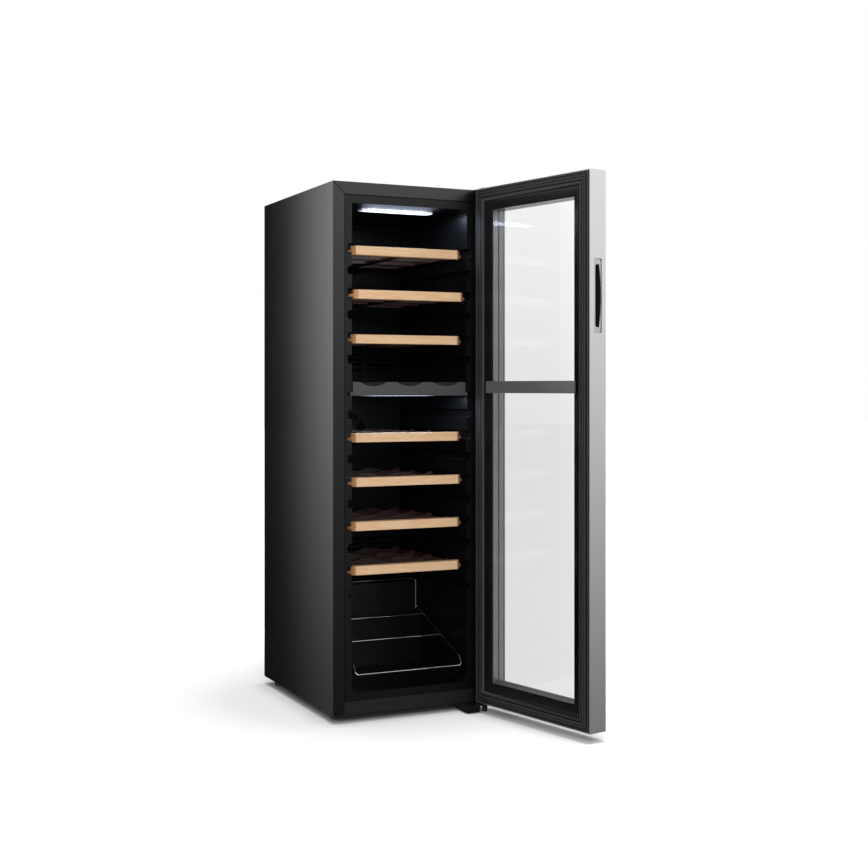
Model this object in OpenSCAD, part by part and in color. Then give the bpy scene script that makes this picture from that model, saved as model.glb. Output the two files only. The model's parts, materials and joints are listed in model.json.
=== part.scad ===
// Free-standing two-zone wine cooler: glazed door, seven pull-out beech shelves, wire bottle rack.
// Origin: on the floor, midway between the four feet. +Z up, the door faces -Y.

/* [Cabinet] */
// Width of the cabinet and of the door
body_w = 345; // [335:1:375]
// Height of the cabinet without its feet
body_h = 1085; // [1075:1:1110]
// Depth of the cabinet without its door
body_d = 437; // [430:1:480]
// Height of the feet, floor to cabinet
foot_gap = 17; // [17:0.5:22]
// Thickness of the steel sheet
sheet_t = 1; // [0.8:0.1:1.4]
// Width of the steel flange round the front
flange_w = 25; // [20:1:28]
// Height of the rail that closes the front at the bottom
rail_h = 26.3; // [22:0.1:30]
// How far the rail's lower lip runs back
rail_lip = 18; // [12:1:24]

/* [Cavity] */
// Side wall, from the cabinet's side to the liner's inner face
side_wall = 41.7; // [39:0.1:46]
// Top wall, from the cabinet's top to the liner's ceiling
top_wall = 43.1; // [40:0.1:50]
// Bottom wall, from the cabinet's bottom to the liner's floor
bottom_wall = 42.7; // [38:0.1:46]
// Back wall, from the cabinet's back to the liner's inner face
back_wall = 45; // [39:1:49]
// Thickness of the liner
liner_t = 2; // [1.5:0.1:2.4]
// How far the liner's front flange tucks behind the steel
liner_tuck = 8; // [5:0.5:10]
// Radius of the cavity's lower corners
cavity_r = 10; // [6:0.5:14]
// Depth of the shelf grooves
groove_d = 9.4; // [8:0.1:11]
// Height of the shelf grooves
groove_h = 18; // [16:0.5:20]
// Radius of the grooves' outer corners
groove_r = 4; // [2:0.5:6]
// Height of the step over the machine compartment
hump_h = 228; // [215:1:232]
// Distance from the cabinet's back to that step
hump_d = 202; // [198:1:212]
// Foam between the step and the machine compartment
hump_wall = 22; // [16:1:26]

/* [Shelves] */
// Distance from the top shelf's groove up to the ceiling
top_bay = 91.1; // [89:0.1:95]
// Distance from the divider's underside up to the groove of the shelf above it
divider_bay = 120; // [117:0.1:122]
// Distance from the groove of the shelf below the divider up to the divider's underside
under_bay = 83.5; // [83:0.1:88]
// Distance from the step up to the lowest shelf's groove
low_bay = 64.3; // [62:0.1:68]
// Height of the front bar
bar_h = 18.4; // [16:0.1:21]
// Depth of the front bar
bar_d = 20; // [16:0.5:26]
// Gap between the bar's end and the liner
bar_gap = 6.4; // [3:0.1:8]
// Chamfer on the bar's front corners
bar_chamfer = 8.4; // [4:0.1:10]
// Distance from the front plane to the bar
bar_y = 15; // [10:0.5:18]
// How far the bar's middle lies below its groove's middle
bar_drop = 3; // [2:0.1:4]
// Thickness of the side runners
runner_h = 6.5; // [5:0.1:8]
// Width of the side runners
runner_w = 20.4; // [16:0.1:26]
// How far a runner reaches into its groove
runner_bite = 1.6; // [1:0.1:2]
// Distance from the front plane to the guide strips on the runners' back half
guide_y = 175; // [170:1:200]
// Gap between a shelf's back end and the duct cover behind it
shelf_back_gap = 7; // [5:0.5:15]
// Height of the cross slats
slat_h = 17; // [14:0.5:17]
// Depth of each cross slat
slat_d = 16; // [12:0.5:24]
// Number of cross slats
slat_count = 4; // [3:1:5]
// Depth of the hollows in the slats
slat_scallop = 7; // [5:0.1:7.5]
// Depth of the hollows in the divider's front
front_scallop = 8.7; // [6:0.1:10]
// Radius of the hollow that holds a bottle
scallop_r = 54; // [45:1:60]
// Distance between two bottles
bottle_pitch = 82.5; // [78:0.5:84]
// How far the second shelf stands out at rest
shelf_2_out = 16; // [0:1:20]
// How far the fifth shelf stands out at rest
shelf_5_out = 4; // [0:1:10]

/* [Zone divider and lights] */
// Height of the divider's front, without its hollows
divider_h = 28.6; // [24:0.2:30]
// Height of the tabs that sit in the liner's grooves
divider_tab_h = 7.3; // [5:0.1:9]
// Height of the grooves that hold those tabs
divider_groove_h = 8; // [7.8:0.1:12]
// Distance from the front plane to the divider
divider_y = 1; // [0.5:0.5:4]
// Gap between the divider's ends and the liner
divider_gap = 2.5; // [1:0.5:5]
// How far the tabs reach into their grooves
divider_bite = 3.4; // [2:0.1:6]
// Length of the light bars
light_w = 165; // [140:1:180]
// Depth of the light bars
light_d = 24; // [18:1:30]
// Height of the upper light bar
light_h = 4.5; // [3:0.5:8]
// Depth of the recess that holds the lower light bar
low_light_h = 4; // [3:0.5:6]
// How far the lower light bar stands out of the divider
low_light_out = 0.6; // [0.4:0.1:2]
// Distance from the front plane to the upper light bar
light_y = 66; // [55:1:80]
// Distance from the front plane to the lower light bar
low_light_y = 60; // [16:1:80]

/* [Cold air ducts] */
// Depth of the ducts in front of the liner's back
duct_room = 47; // [45:0.5:52]
// Thickness of the duct covers
duct_t = 2.5; // [2:0.1:3.5]
// Gap round a duct cover
duct_gap = 2; // [1:0.5:4]
// Size of the square fan frames
fan_size = 92; // [80:1:96]
// Depth of the fan frames
fan_d = 25; // [20:1:28]
// Distance from a duct cover's top edge to its fan's centre
fan_drop = 78; // [60:1:84]
// Diameter of a fan's shaft
fan_shaft = 4; // [3:0.5:5]
// Number of blades on a fan
fan_blades = 7; // [5:1:9]
// Tilt of the blades in degrees
blade_tilt = 38; // [25:1:50]
// Width of the evaporators
evap_w = 200; // [160:1:220]
// Gap between an evaporator and the fan above it
evap_gap = 8; // [4:0.5:30]
// Distance from a duct cover's lower edge to its evaporator
evap_lift = 98; // [96:1:100]
// Number of fins on an evaporator
evap_fins = 15; // [9:1:25]

/* [Machine compartment] */
// Diameter of the compressor
comp_dia = 140; // [120:1:146]
// Height of the compressor with its feet
comp_h = 158; // [140:1:162]
// Gap between the compressor and the cabinet's side
comp_gap = 14.5; // [10:0.5:20]
// Gap between the compressor and the compartment's front wall
room_gap = 6; // [4:0.5:8]
// Length of the condenser
cond_l = 120; // [100:1:122]
// Depth of the condenser
cond_w = 38; // [24:1:42]
// Height of the condenser
cond_h = 140; // [110:1:150]
// Number of fins on the condenser
cond_fins = 13; // [9:1:21]
// Gap between the condenser and the cabinet's side
cond_gap = 15; // [8:0.5:18]
// Size of the condenser's square fan
cond_fan = 120; // [100:1:130]
// Depth of the drip tray
tray_h = 22; // [14:1:28]
// Height of the control box
box_h = 44; // [30:1:60]
// Length of the control box
box_d = 110; // [80:1:130]
// Gap on either side of the control box
box_gap = 12; // [8:0.5:20]
// Distance from the cabinet's side to the cord gland
gland_x = 40; // [30:1:60]
// Height of the cord gland above the cabinet's bottom
gland_z = 30; // [20:1:40]
// Radius of the hole in the cord gland
gland_r = 4; // [3:0.5:5]

/* [Door] */
// Thickness of the door
door_t = 42.5; // [38:0.5:46]
// Gap between the closed door and the front plane
door_gap = 13; // [13:0.5:16]
// Gap between the door and the lower hinge
door_low_gap = 2; // [1.8:0.1:3]
// Gap between the door's top and the upper hinge
door_top_gap = 0.6; // [0.4:0.1:1.5]
// Angle at which the door stands at rest
door_angle = 102; // [0:1:105]
// Thickness of the steel round the door
frame_t = 1.2; // [0.9:0.1:1.5]
// Width of the frame, outer edge to clear glass
frame_w = 48; // [44:0.5:54]
// Width of the sloping face round the glass
bevel_w = 11; // [8:0.5:14]
// Depth of the sloping face round the glass
bevel_d = 4.4; // [3:0.1:6]
// Thickness of the lip that holds the glass
lip_t = 1; // [0.8:0.1:1.6]
// Width of the glass that the frame covers
glass_cover = 14; // [10:0.5:16]
// Thickness of each pane
pane_t = 3.2; // [3:0.1:4]
// Distance from the innermost pane's back to the middle pane
pane_pitch = 13.8; // [11:0.1:15]
// Width of the spacer bars between the panes
spacer_w = 6; // [4:0.5:8]
// Height of the seal bar's middle above the divider's underside
seal_bar_up = 17.8; // [12:0.2:20]
// Height of the seal bar
seal_bar_h = 24.8; // [20:0.2:28]
// How far the seal bar stands out of the door
seal_bar_out = 5.2; // [3:0.1:7]
// How far the seal bar laps over the frame at each end
seal_bar_lap = 9.6; // [5:0.1:12]

// Width of the touch panel
panel_w = 118; // [90:1:140]
// Height of the touch panel
panel_h = 22; // [16:0.5:24]
// Depth of the touch panel
panel_d = 8; // [6:0.5:12]
// Height of the stop under the door
stop_h = 6; // [4:0.5:8]

/* [Door seal] */
// Distance from the door's edge to the seal
seal_in = 4; // [3:0.5:6]
// Width of the seal at its base
seal_base = 16; // [14:0.5:20]
// Width of the seal's magnet bulb
seal_bulb = 7; // [6:0.5:9]
// Distance from the door's edge to the magnet bulb
seal_bulb_in = 7; // [7:0.5:9]
// Height of the seal
seal_h = 12; // [9:0.1:12]
// Width of the groove that holds the seal
seal_slot = 5; // [4:0.5:6]
// Depth of the groove that holds the seal
seal_slot_d = 5; // [4:0.5:6]

/* [Handle] */
// Length of the pressed handle recess
handle_len = 143.2; // [120:0.2:160]
// Width of the handle recess
handle_w = 20.6; // [17:0.2:21]
// Distance from the cabinet's top down to the recess's middle
handle_drop = 242.8; // [200:0.2:290]
// Distance from the door's inner face to the recess's middle
handle_s = 21.5; // [18:0.5:24]
// Radius of the recess's corners
handle_r = 4; // [2:0.5:8]
// Depth of the pressed step
handle_step = 1.8; // [1.2:0.1:2.5]
// Length of the finger slot
grip_len = 121; // [100:1:124]
// Width of the finger slot at its middle
grip_w = 14.5; // [12:0.5:16]
// Width of the finger slot at its ends
grip_end_w = 10; // [8:0.5:11]
// Depth of the finger slot
grip_depth = 22; // [16:1:26]

/* [Hinges and feet] */
// Distance from the door's side to the hinge axis
axis_in = 12.8; // [12.8:0.1:15]
// Distance from the door's inner face to the hinge axis
axis_s = 14; // [13:0.5:18]
// Diameter of the hinge pins
pin_dia = 6; // [5:0.5:8]
// Length of the hinge pins inside the door
pin_len = 15; // [12:1:20]
// Outer diameter of the hinge bushes
bush_dia = 10; // [9:0.5:12]
// Thickness of the lower hinge plate
plate_t = 3; // [2:0.5:4]
// Width of the hinge plates
plate_w = 59; // [52:1:64]
// How far the hinge plates run back
plate_back = 64; // [60:1:80]
// Distance from the front plane to the upper hinge plate
top_plate_y = 20; // [14:1:24]
// Thickness of the upper hinge plate
top_plate_t = 2; // [1.5:0.5:4]
// Width of the block under the lower hinge plate
block_w = 30; // [24:1:34]
// Height of the block under the lower hinge plate
block_h = 11; // [8:0.5:12]
// How far the lower hinge plate stands out in front
plate_out = 37; // [36:0.5:40]
// Diameter of the feet
foot_dia = 26; // [20:1:30]
// Number of grip notches round a foot
foot_grips = 12; // [8:1:16]
// Height of a foot's pad
pad_h = 10; // [6:0.5:10.5]
// Diameter of a foot's threaded stem
stem_dia = 8; // [6:0.5:10]
// Distance from the cabinet's side to a foot's axis
foot_x = 28; // [24:1:34]
// Distance from the front plane to the front feet
foot_front = 52; // [46:1:60]
// Distance from the cabinet's back to the rear feet
foot_back_in = 32; // [27:1:36]

/* [Wire rack] */
// Thickness of the wire
wire_d = 3.6; // [3:0.2:4.4]
// Gap between the rack's side wires' middle and the cavity's sides
rack_gap = 9.8; // [8:0.1:16]
// Distance from the front plane to the rack's front bar
rack_y = 6; // [5:0.5:12]
// Height of the rack's front bar
rack_z = 78; // [70:0.5:84]
// Height of the front posts
rack_post = 19; // [14:0.5:24]
// How far the front posts lean back
rack_lean = 11; // [6:0.5:14]
// Height of the wires where they meet the step
rack_back_z = 172; // [160:1:180]

/* [Fits] */
// Clearance between parts that move apart
move_gap = 0.3; // [0.3:0.05:0.6]
// Radial clearance of a pin in its bush
pin_gap = 0.05; // [0.03:0.01:0.1]
// Gap between a runner and the guide strip beside it
guide_gap = 0.1; // [0.05:0.05:0.2]

/* [Hidden] */
$fn = 64;
eps = 0.01;
far = 2000;
wire_thin = 0.94;
slot_round = 0.48;
fit_gap = 0.2;

// Cabinet
half_w = body_w / 2;
cavity_half = half_w - side_wall;
cavity_top = body_h - top_wall;
cavity_d = body_d - back_wall;
hump_y = body_d - hump_d;
flange_half = half_w - flange_w;
seam_w = 1;
seam_d = 0.6;
seam_run = flange_w * 1.5;

// Shelves: the room that the four bays leave is shared out between the other shelves
upper_shelves = 3;
shelf_total = 7;
shelf_pitch = (cavity_top - hump_h - top_bay - divider_bay - under_bay - low_bay) / (shelf_total - 2);
lower_first = hump_h + low_bay;
divider_z = lower_first + (shelf_total - upper_shelves - 1) * shelf_pitch + under_bay;
upper_first = divider_z + divider_bay;

// Shelf grooves: every half pitch, in both zones
half_pitch = shelf_pitch / 2;
groove_levels = concat([for (i = [-1:7]) lower_first + i * half_pitch],
                       [for (i = [-1:4]) upper_first + i * half_pitch]);
function shelf_level(i) = i <= upper_shelves
    ? upper_first + (upper_shelves - i) * shelf_pitch
    : lower_first + (shelf_total - i) * shelf_pitch;
function shelf_out(i) = i == 2 ? shelf_2_out : i == 5 ? shelf_5_out : 0;
bar_half = cavity_half - bar_gap;
runner_outer = cavity_half + runner_bite;
runner_inner = runner_outer - runner_w;
runner_low = move_gap - groove_h / 2;
guide_outer = cavity_half + groove_d - groove_r * 0.75;
bar_low = -bar_drop - bar_h / 2;
slat_low = bar_low + 1.5;

// Machine compartment
pan_t = 1;
pan_top = sheet_t + pan_t;
room_front = hump_y + liner_t + hump_wall;
room_top = hump_h - liner_t - hump_wall;
room_back = body_d - sheet_t;
panel_in = sheet_t + 0.3;
comp_x = half_w - comp_gap - comp_dia / 2;
comp_y = room_front + room_gap + comp_dia / 2;
cond_x = cond_gap - half_w;
cond_fan_x = cond_x + cond_w + 6;
gland_neck_r = gland_r + 3;

// Ducts
duct_y = cavity_d - duct_room;
shelf_end = duct_y - shelf_back_gap;
upper_duct_low = divider_z + divider_h + 3;
upper_duct_high = cavity_top - 1.5;
lower_duct_low = hump_h + 2;
lower_duct_high = divider_z - 2;
fan_front = duct_y + duct_t;
evap_d = cavity_d - fan_front - 8;
fan_rim = 3;
hub_share = 0.17;
hub_t = 4;
evap_h = upper_duct_high - fan_drop - fan_size / 2 - evap_gap - upper_duct_low - evap_lift;

// Door, drawn closed: the inner face lies at door_gap in front of the front plane
door_h = body_h - door_low_gap - door_top_gap;
axis_x = half_w - axis_in;
axis_y = -door_gap - axis_s;
glass_in = frame_w - glass_cover;
lip_s = bevel_d + lip_t;
middle_s = lip_s + pane_t + pane_pitch;
outer_s = door_t - frame_t - pane_t;
frame_depth = door_t - frame_t;
panel_z = glass_in / 2 + 1;
seal_bar_z = divider_z + seal_bar_up - door_low_gap;
handle_z = body_h - handle_drop - door_low_gap;

// Hinges and feet
boss_dia = bush_dia + 6;
screw_r = 2;
screw_gap = 0.2;
foot_boss = stem_dia + 8;
foot_boss_h = 14;
stem_len = foot_gap - pad_h + foot_boss_h - 4;
foot_back = body_d - foot_back_in;
stand_y = (foot_front + foot_back) / 2;

// ---------- helpers ----------

module in_cabinet() {
    translate([0, -stand_y, foot_gap]) children();
}

module at_door() {
    in_cabinet()
        translate([axis_x, axis_y, 0])
            rotate([0, 0, door_angle])
                translate([-axis_x, -axis_y, 0])
                    children();
}

module on_door() {
    at_door() translate([0, -door_gap, door_low_gap]) children();
}

module block(low, high) {
    translate(low) cube(high - low);
}

// Profile in X-Z, extruded from y0 to y1
module along_y(y0, y1) {
    translate([0, y1, 0]) rotate([90, 0, 0]) linear_extrude(y1 - y0) children();
}

// Profile in Y-Z, extruded from x0 to x1
module along_x(x0, x1) {
    translate([x0, 0, 0]) rotate([90, 0, 90]) linear_extrude(x1 - x0) children();
}

module flat(low, high) {
    translate(low) square(high - low);
}

module round_flat(low, high, r) {
    flat([low[0] + r, low[1]], [high[0] - r, high[1]]);
    flat([low[0], low[1] + r], [high[0], high[1] - r]);
    for (x = [low[0] + r, high[0] - r], y = [low[1] + r, high[1] - r])
        translate([x, y]) circle(r);
}

// Straight wire whose ends run on a little past a and b, to fill the outside of a bend
module straight_wire(a, b, d) {
    run = b - a;
    span = norm(run);
    past = 0.3 * d;
    translate(a)
        rotate([0, acos(run[2] / span), atan2(run[1], run[0])])
            translate([0, 0, -past]) cylinder(d = d, h = span + 2 * past);
}

// Bent wire through a list of points. Every second straight is a little thinner, so that two
// straights of one thickness never cross at a bend.
module wire(points, d) {
    for (i = [0:len(points) - 2])
        straight_wire(points[i], points[i + 1], i % 2 == 0 ? d : d * wire_thin);
}

// Rectangular ring with mitred corners. The section's X runs in from the outer edge and
// its Y is the ring's depth. The ring stands on z = 0, centred on x = 0.
module mitred_ring(w, h) {
    for (side = [0, 1])
        mirror([side, 0, 0])
            intersection() {
                translate([w / 2, 0, 0]) mirror([1, 0, 0]) linear_extrude(h) children();
                along_y(-far, far)
                    polygon([[w / 2, 0], [w / 2, h], [0, h - w / 2], [0, w / 2]]);
            }
    for (side = [0, 1])
        translate([0, 0, side * h])
            mirror([0, 0, side])
                intersection() {
                    along_x(-w / 2, w / 2) mirror([1, -1, 0]) children();
                    along_y(-far, far) polygon([[-w / 2, 0], [w / 2, 0], [0, w / 2]]);
                }
}

// ---------- cabinet shell ----------

module mitre_seam(side) {
    mirror([side, 0, 0])
        translate([half_w, -eps, body_h])
            rotate([0, 45, 0])
                block([-seam_run, -1, -seam_w / 2], [1, seam_d, seam_w / 2]);
}

module outer_shell() {
    color("#3b3b3d")
        in_cabinet()
            difference() {
                block([-half_w, 0, 0], [half_w, body_d, body_h]);
                block([sheet_t - half_w, sheet_t, -1],
                      [half_w - sheet_t, body_d + 1, body_h - sheet_t]);
                block([-flange_half, -1, -1], [flange_half, sheet_t + 1, body_h - flange_w]);
                mitre_seam(0);
                mitre_seam(1);
            }
}

module bottom_rail() {
    color("#38383a")
        in_cabinet()
            difference() {
                block([-flange_half, 0, 0], [flange_half, rail_lip, rail_h]);
                block([-flange_half - 1, sheet_t, sheet_t], [flange_half + 1, far, rail_h + 1]);
            }
}

// Bent sheet: the back wall, the machine compartment's ceiling and its front wall
module back_panel_profile(t) {
    polygon([[room_back, room_top - t], [body_d, room_top - t], [body_d, body_h - panel_in],
             [body_d - t, body_h - panel_in], [body_d - t, room_top],
             [room_front - t, room_top], [room_front - t, pan_top],
             [room_front, pan_top], [room_front, room_top - t]]);
}

module back_panel() {
    color("#2a2a2b")
        in_cabinet()
            along_x(panel_in - half_w, half_w - panel_in)
                back_panel_profile(sheet_t);
}

module machine_cover() {
    louvre_rows = 5;
    louvre_cols = 4;
    louvre_w = 58;
    col_pitch = 72;
    louvre_h = 6;
    row_pitch = 22;
    first_row = 60;
    color("#232324")
        in_cabinet()
            difference() {
                block([panel_in - half_w, room_back, pan_top],
                      [half_w - panel_in, body_d, room_top - sheet_t]);
                for (i = [0:louvre_cols - 1], j = [0:louvre_rows - 1])
                    translate([(i - (louvre_cols - 1) / 2) * col_pitch, 0, first_row + j * row_pitch])
                        along_y(room_back - 1, body_d + 1)
                            round_flat([-louvre_w / 2, 0], [louvre_w / 2, louvre_h], louvre_h * slot_round);
                translate([gland_x - half_w, body_d, gland_z])
                    rotate([90, 0, 0]) cylinder(r = gland_neck_r, h = 4 * sheet_t, center = true);
            }
}

module foot_places() {
    for (x = [-1, 1], y = [foot_front, foot_back])
        translate([x * (half_w - foot_x), y, 0]) children();
}

module base_pan() {
    color("#2c2c2d")
        in_cabinet()
            difference() {
                union() {
                    block([panel_in - half_w, sheet_t + fit_gap, sheet_t],
                          [half_w - panel_in, body_d, pan_top]);
                    foot_places() translate([0, 0, sheet_t]) cylinder(d = foot_boss, h = foot_boss_h);
                }
                foot_places() translate([0, 0, -1])
                    cylinder(d = stem_dia + 2 * pin_gap, h = foot_boss_h * 2);
            }
}

// ---------- liner and foam ----------

// Front outline of the cavity grown by g on every side
module cavity_outline(g) {
    difference() {
        flat([-cavity_half - g, bottom_wall - g], [cavity_half + g, cavity_top + g]);
        for (side = [-1, 1])
            translate([side * (cavity_half + g), bottom_wall - g])
                square(2 * (cavity_r + g), center = true);
    }
    for (side = [-1, 1])
        translate([side * (cavity_half - cavity_r), bottom_wall + cavity_r]) circle(cavity_r + g);
    for (z = groove_levels)
        round_flat([-cavity_half - groove_d - g, z - groove_h / 2 - g],
                   [cavity_half + groove_d + g, z + groove_h / 2 + g], groove_r + g);
    flat([-cavity_half - groove_d - g, divider_z - g],
         [cavity_half + groove_d + g, divider_z + divider_groove_h + g]);
}

// The step over the machine compartment, drawn g smaller than the cavity's side of it
module hump(g) {
    block([-far, hump_y + g, -far], [far, far, hump_h - g]);
}

module liner_body(g) {
    difference() {
        along_y(sheet_t, cavity_d + g) cavity_outline(g);
        hump(g);
    }
}

module inner_liner() {
    flange_out = flange_half + liner_tuck;
    color("#1d1d1f")
        in_cabinet()
            difference() {
                union() {
                    liner_body(liner_t);
                    block([-flange_out, sheet_t, rail_h - liner_tuck],
                          [flange_out, sheet_t + liner_t, body_h - flange_w + liner_tuck]);
                }
                difference() {
                    along_y(0, cavity_d) cavity_outline(0);
                    hump(0);
                }
            }
}

module insulation_foam() {
    foam_front = sheet_t + liner_t;
    color("#d9c48a")
        in_cabinet()
            difference() {
                block([panel_in - half_w, foam_front, pan_top],
                      [half_w - panel_in, body_d - sheet_t, body_h - panel_in]);
                difference() {
                    along_y(0, cavity_d + liner_t) cavity_outline(liner_t);
                    hump(liner_t);
                }
                block([-far, room_front - sheet_t, -1], [far, far, room_top]);
                foot_places()
                    cylinder(d = foot_boss + 2 * fit_gap, h = foot_boss_h + sheet_t + 2 * fit_gap);
            }
}

// ---------- divider and lights ----------

// Hollows for three bottles, cut to a depth below height z
module scallops(z, depth) {
    for (i = [-1:1])
        translate([i * bottle_pitch, z + scallop_r - depth]) circle(scallop_r, $fn = 128);
}

module zone_divider() {
    divider_top = divider_z + divider_h;
    half = cavity_half - divider_gap;
    tab_half = cavity_half + divider_bite;
    light_room = 0.2;
    color("#5c5d61")
        in_cabinet()
            difference() {
                along_y(divider_y, duct_y)
                    difference() {
                        union() {
                            flat([-half, divider_z], [half, divider_top]);
                            flat([-tab_half, divider_z], [tab_half, divider_z + divider_tab_h]);
                        }
                        scallops(divider_top, front_scallop);
                    }
                block([-light_w / 2 - light_room, low_light_y - light_room, divider_z - 1],
                      [light_w / 2 + light_room, low_light_y + light_d + light_room,
                       divider_z + low_light_h]);
            }
}

// Light bar with a rounded lower face, hung with its flat face at z = 0
module light_bar(h) {
    r = h * 0.5;
    along_x(-light_w / 2, light_w / 2)
        union() {
            flat([0, r - h], [light_d, 0]);
            flat([r, -h], [light_d - r, 0]);
            for (y = [r, light_d - r])
                translate([y, r - h]) circle(r);
        }
}

module upper_light() {
    color("#e8f1ff")
        in_cabinet() translate([0, light_y, cavity_top]) light_bar(light_h);
}

module lower_light() {
    color("#e8f1ff")
        in_cabinet()
            translate([0, low_light_y, divider_z + low_light_h]) light_bar(low_light_h + low_light_out);
}

// ---------- ducts, evaporators and fans ----------

module fan_grille(r) {
    rings = 4;
    rib = 2.4;
    middle_r = 12;
    ring_step = (r - middle_r) / rings;
    rotate([90, 0, 0])
        linear_extrude(duct_t, center = true) {
            circle(middle_r);
            for (i = [1:rings])
                let (ring_r = middle_r + (i - 0.5) * ring_step)
                    difference() {
                        circle(ring_r + rib / 2);
                        circle(ring_r - rib / 2);
                    }
            for (a = [0:45:135])
                rotate(a) square([2 * r, rib], center = true);
        }
}

module duct_cover(low, high) {
    half = cavity_half - duct_gap;
    fan_z = high - fan_drop;
    grille_r = fan_size / 2 - 5;
    slot_w = 66;
    slot_h = 5;
    slot_pitch = 78;
    slot_rows = 6;
    row_pitch = 12;
    first_row = low + 24;
    difference() {
        block([-half, duct_y, low], [half, cavity_d, high]);
        block([duct_t - half, duct_y + duct_t, low + duct_t],
              [half - duct_t, cavity_d + 1, high - duct_t]);
        translate([0, duct_y + duct_t / 2, fan_z])
            rotate([90, 0, 0]) cylinder(r = grille_r, h = duct_t * 2, center = true);
        for (i = [-1:1], j = [0:slot_rows - 1])
            translate([i * slot_pitch, 0, first_row + j * row_pitch])
                along_y(duct_y - 1, duct_y + duct_t + 1)
                    round_flat([-slot_w / 2, 0], [slot_w / 2, slot_h], slot_h * slot_round);
    }
    translate([0, duct_y + duct_t / 2, fan_z]) fan_grille(grille_r + 1);
}

module upper_duct_cover() {
    color("#202022") in_cabinet() duct_cover(upper_duct_low, upper_duct_high);
}

module lower_duct_cover() {
    color("#202022") in_cabinet() duct_cover(lower_duct_low, lower_duct_high);
}

// Fins on two rows of tubes, between two end plates; x and z centred, y from 0 to d
module fin_pack(w, h, d, fins) {
    fin_t = 0.8;
    tube = 7;
    tube_out = 4;
    tube_in = 0.27;
    rows = 4;
    end_t = 2;
    for (i = [0:fins - 1])
        translate([(i / (fins - 1) - 0.5) * (w - end_t), d / 2, 0])
            cube([i == 0 || i == fins - 1 ? end_t : fin_t, d, h], center = true);
    for (j = [0:rows - 1], y = [tube_in, 1 - tube_in])
        translate([-w / 2 - tube_out, y * d, ((j + 0.5) / rows - 0.5) * h])
            rotate([0, 90, 0]) cylinder(d = tube, h = w + 2 * tube_out, $fn = 24);
}

module evaporator(low) {
    translate([0, cavity_d - evap_d, low + evap_lift + evap_h / 2])
        fin_pack(evap_w, evap_h, evap_d, evap_fins);
}

module upper_evaporator() {
    color("#b9bcc0") in_cabinet() evaporator(upper_duct_low);
}

module lower_evaporator() {
    color("#b9bcc0") in_cabinet() evaporator(lower_duct_low);
}

// Axial fan frame on the z axis, from z = 0 to z = depth: square frame, motor hub, four arms
module fan_frame(size, depth) {
    bore = size / 2 - fan_rim;
    hub = size * hub_share;
    screw_in = 5.5;
    screw_hole = 2.1;
    corner_r = 4;
    linear_extrude(depth)
        difference() {
            round_flat([-size / 2, -size / 2], [size / 2, size / 2], corner_r);
            circle(bore);
            for (x = [-1, 1], y = [-1, 1])
                translate([x, y] * (size / 2 - screw_in)) circle(screw_hole);
        }
    difference() {
        union() {
            cylinder(r = hub, h = hub_t);
            for (a = [45:90:315])
                rotate([0, 0, a])
                    translate([hub - 1, -hub_t / 2, 0]) cube([bore - hub + 2, hub_t, hub_t]);
        }
        translate([0, 0, -1]) cylinder(d = fan_shaft + 2 * pin_gap, h = hub_t + 2);
    }
}

module fan_wheel(size, depth) {
    tip = size / 2 - fan_rim - 2;
    hub = size * hub_share;
    low = hub_t + 0.6;
    high = depth - 2;
    blade_t = 1.8;
    blade_in = 0.6;
    blade_w = (high - low) / sin(blade_tilt) + 4;
    translate([0, 0, low]) cylinder(r = hub, h = high - low);
    translate([0, 0, 0.5]) cylinder(d = fan_shaft, h = low);
    intersection() {
        for (i = [0:fan_blades - 1])
            rotate([0, 0, i * 360 / fan_blades])
                translate([hub - 2, 0, (low + high) / 2])
                    rotate([90 - blade_tilt, 0, 0])
                        translate([0, -blade_t / 2, -blade_w / 2])
                            cube([tip, blade_t, blade_w]);
        translate([0, 0, low + blade_in]) cylinder(r = tip, h = high - low - 2 * blade_in);
    }
}

module at_duct_fan(high) {
    translate([0, fan_front, high - fan_drop]) rotate([-90, 0, 0]) children();
}

module upper_fan_motor() {
    color("#2b2b2d") in_cabinet() at_duct_fan(upper_duct_high) fan_frame(fan_size, fan_d);
}

module lower_fan_motor() {
    color("#2b2b2d") in_cabinet() at_duct_fan(lower_duct_high) fan_frame(fan_size, fan_d);
}

module upper_fan_rotor() {
    color("#3a3a3c") in_cabinet() at_duct_fan(upper_duct_high) fan_wheel(fan_size, fan_d);
}

module lower_fan_rotor() {
    color("#3a3a3c") in_cabinet() at_duct_fan(lower_duct_high) fan_wheel(fan_size, fan_d);
}

// ---------- machine compartment ----------

module compressor() {
    r = comp_dia / 2;
    round_r = 30;
    rubber_h = 8;
    rubber_r = 8;
    seam_z = comp_h * 0.42;
    shell_low = pan_top + 14;
    shell_h = comp_h - 14;
    seam_out = 2;
    seam_t = 5;
    base_in = 2;
    base_side_in = 14;
    hole_x = r - 12;
    hole_y = r - 24;
    color("#1b1c1e")
        in_cabinet()
            translate([comp_x, comp_y, 0]) {
                translate([0, 0, shell_low])
                    rotate_extrude($fn = 96) {
                        flat([0, 0], [r - round_r, shell_h]);
                        flat([0, round_r], [r, shell_h - round_r]);
                        for (z = [round_r, shell_h - round_r])
                            intersection() {
                                translate([r - round_r, z]) circle(round_r);
                                flat([0, 0], [r, comp_h]);
                            }
                    }
                translate([0, 0, shell_low + seam_z])
                    cylinder(r = r + seam_out, h = seam_t, $fn = 96);
                difference() {
                    block([base_in - r, base_side_in - r, pan_top + rubber_h],
                          [r - base_in, r - base_side_in, shell_low + 3]);
                    for (x = [-hole_x, hole_x], y = [-hole_y, hole_y])
                        translate([x, y, 0]) cylinder(r = 3, h = far);
                }
                for (x = [-hole_x, hole_x], y = [-hole_y, hole_y])
                    translate([x, y, pan_top]) cylinder(r = rubber_r, h = rubber_h);
            }
}

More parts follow.
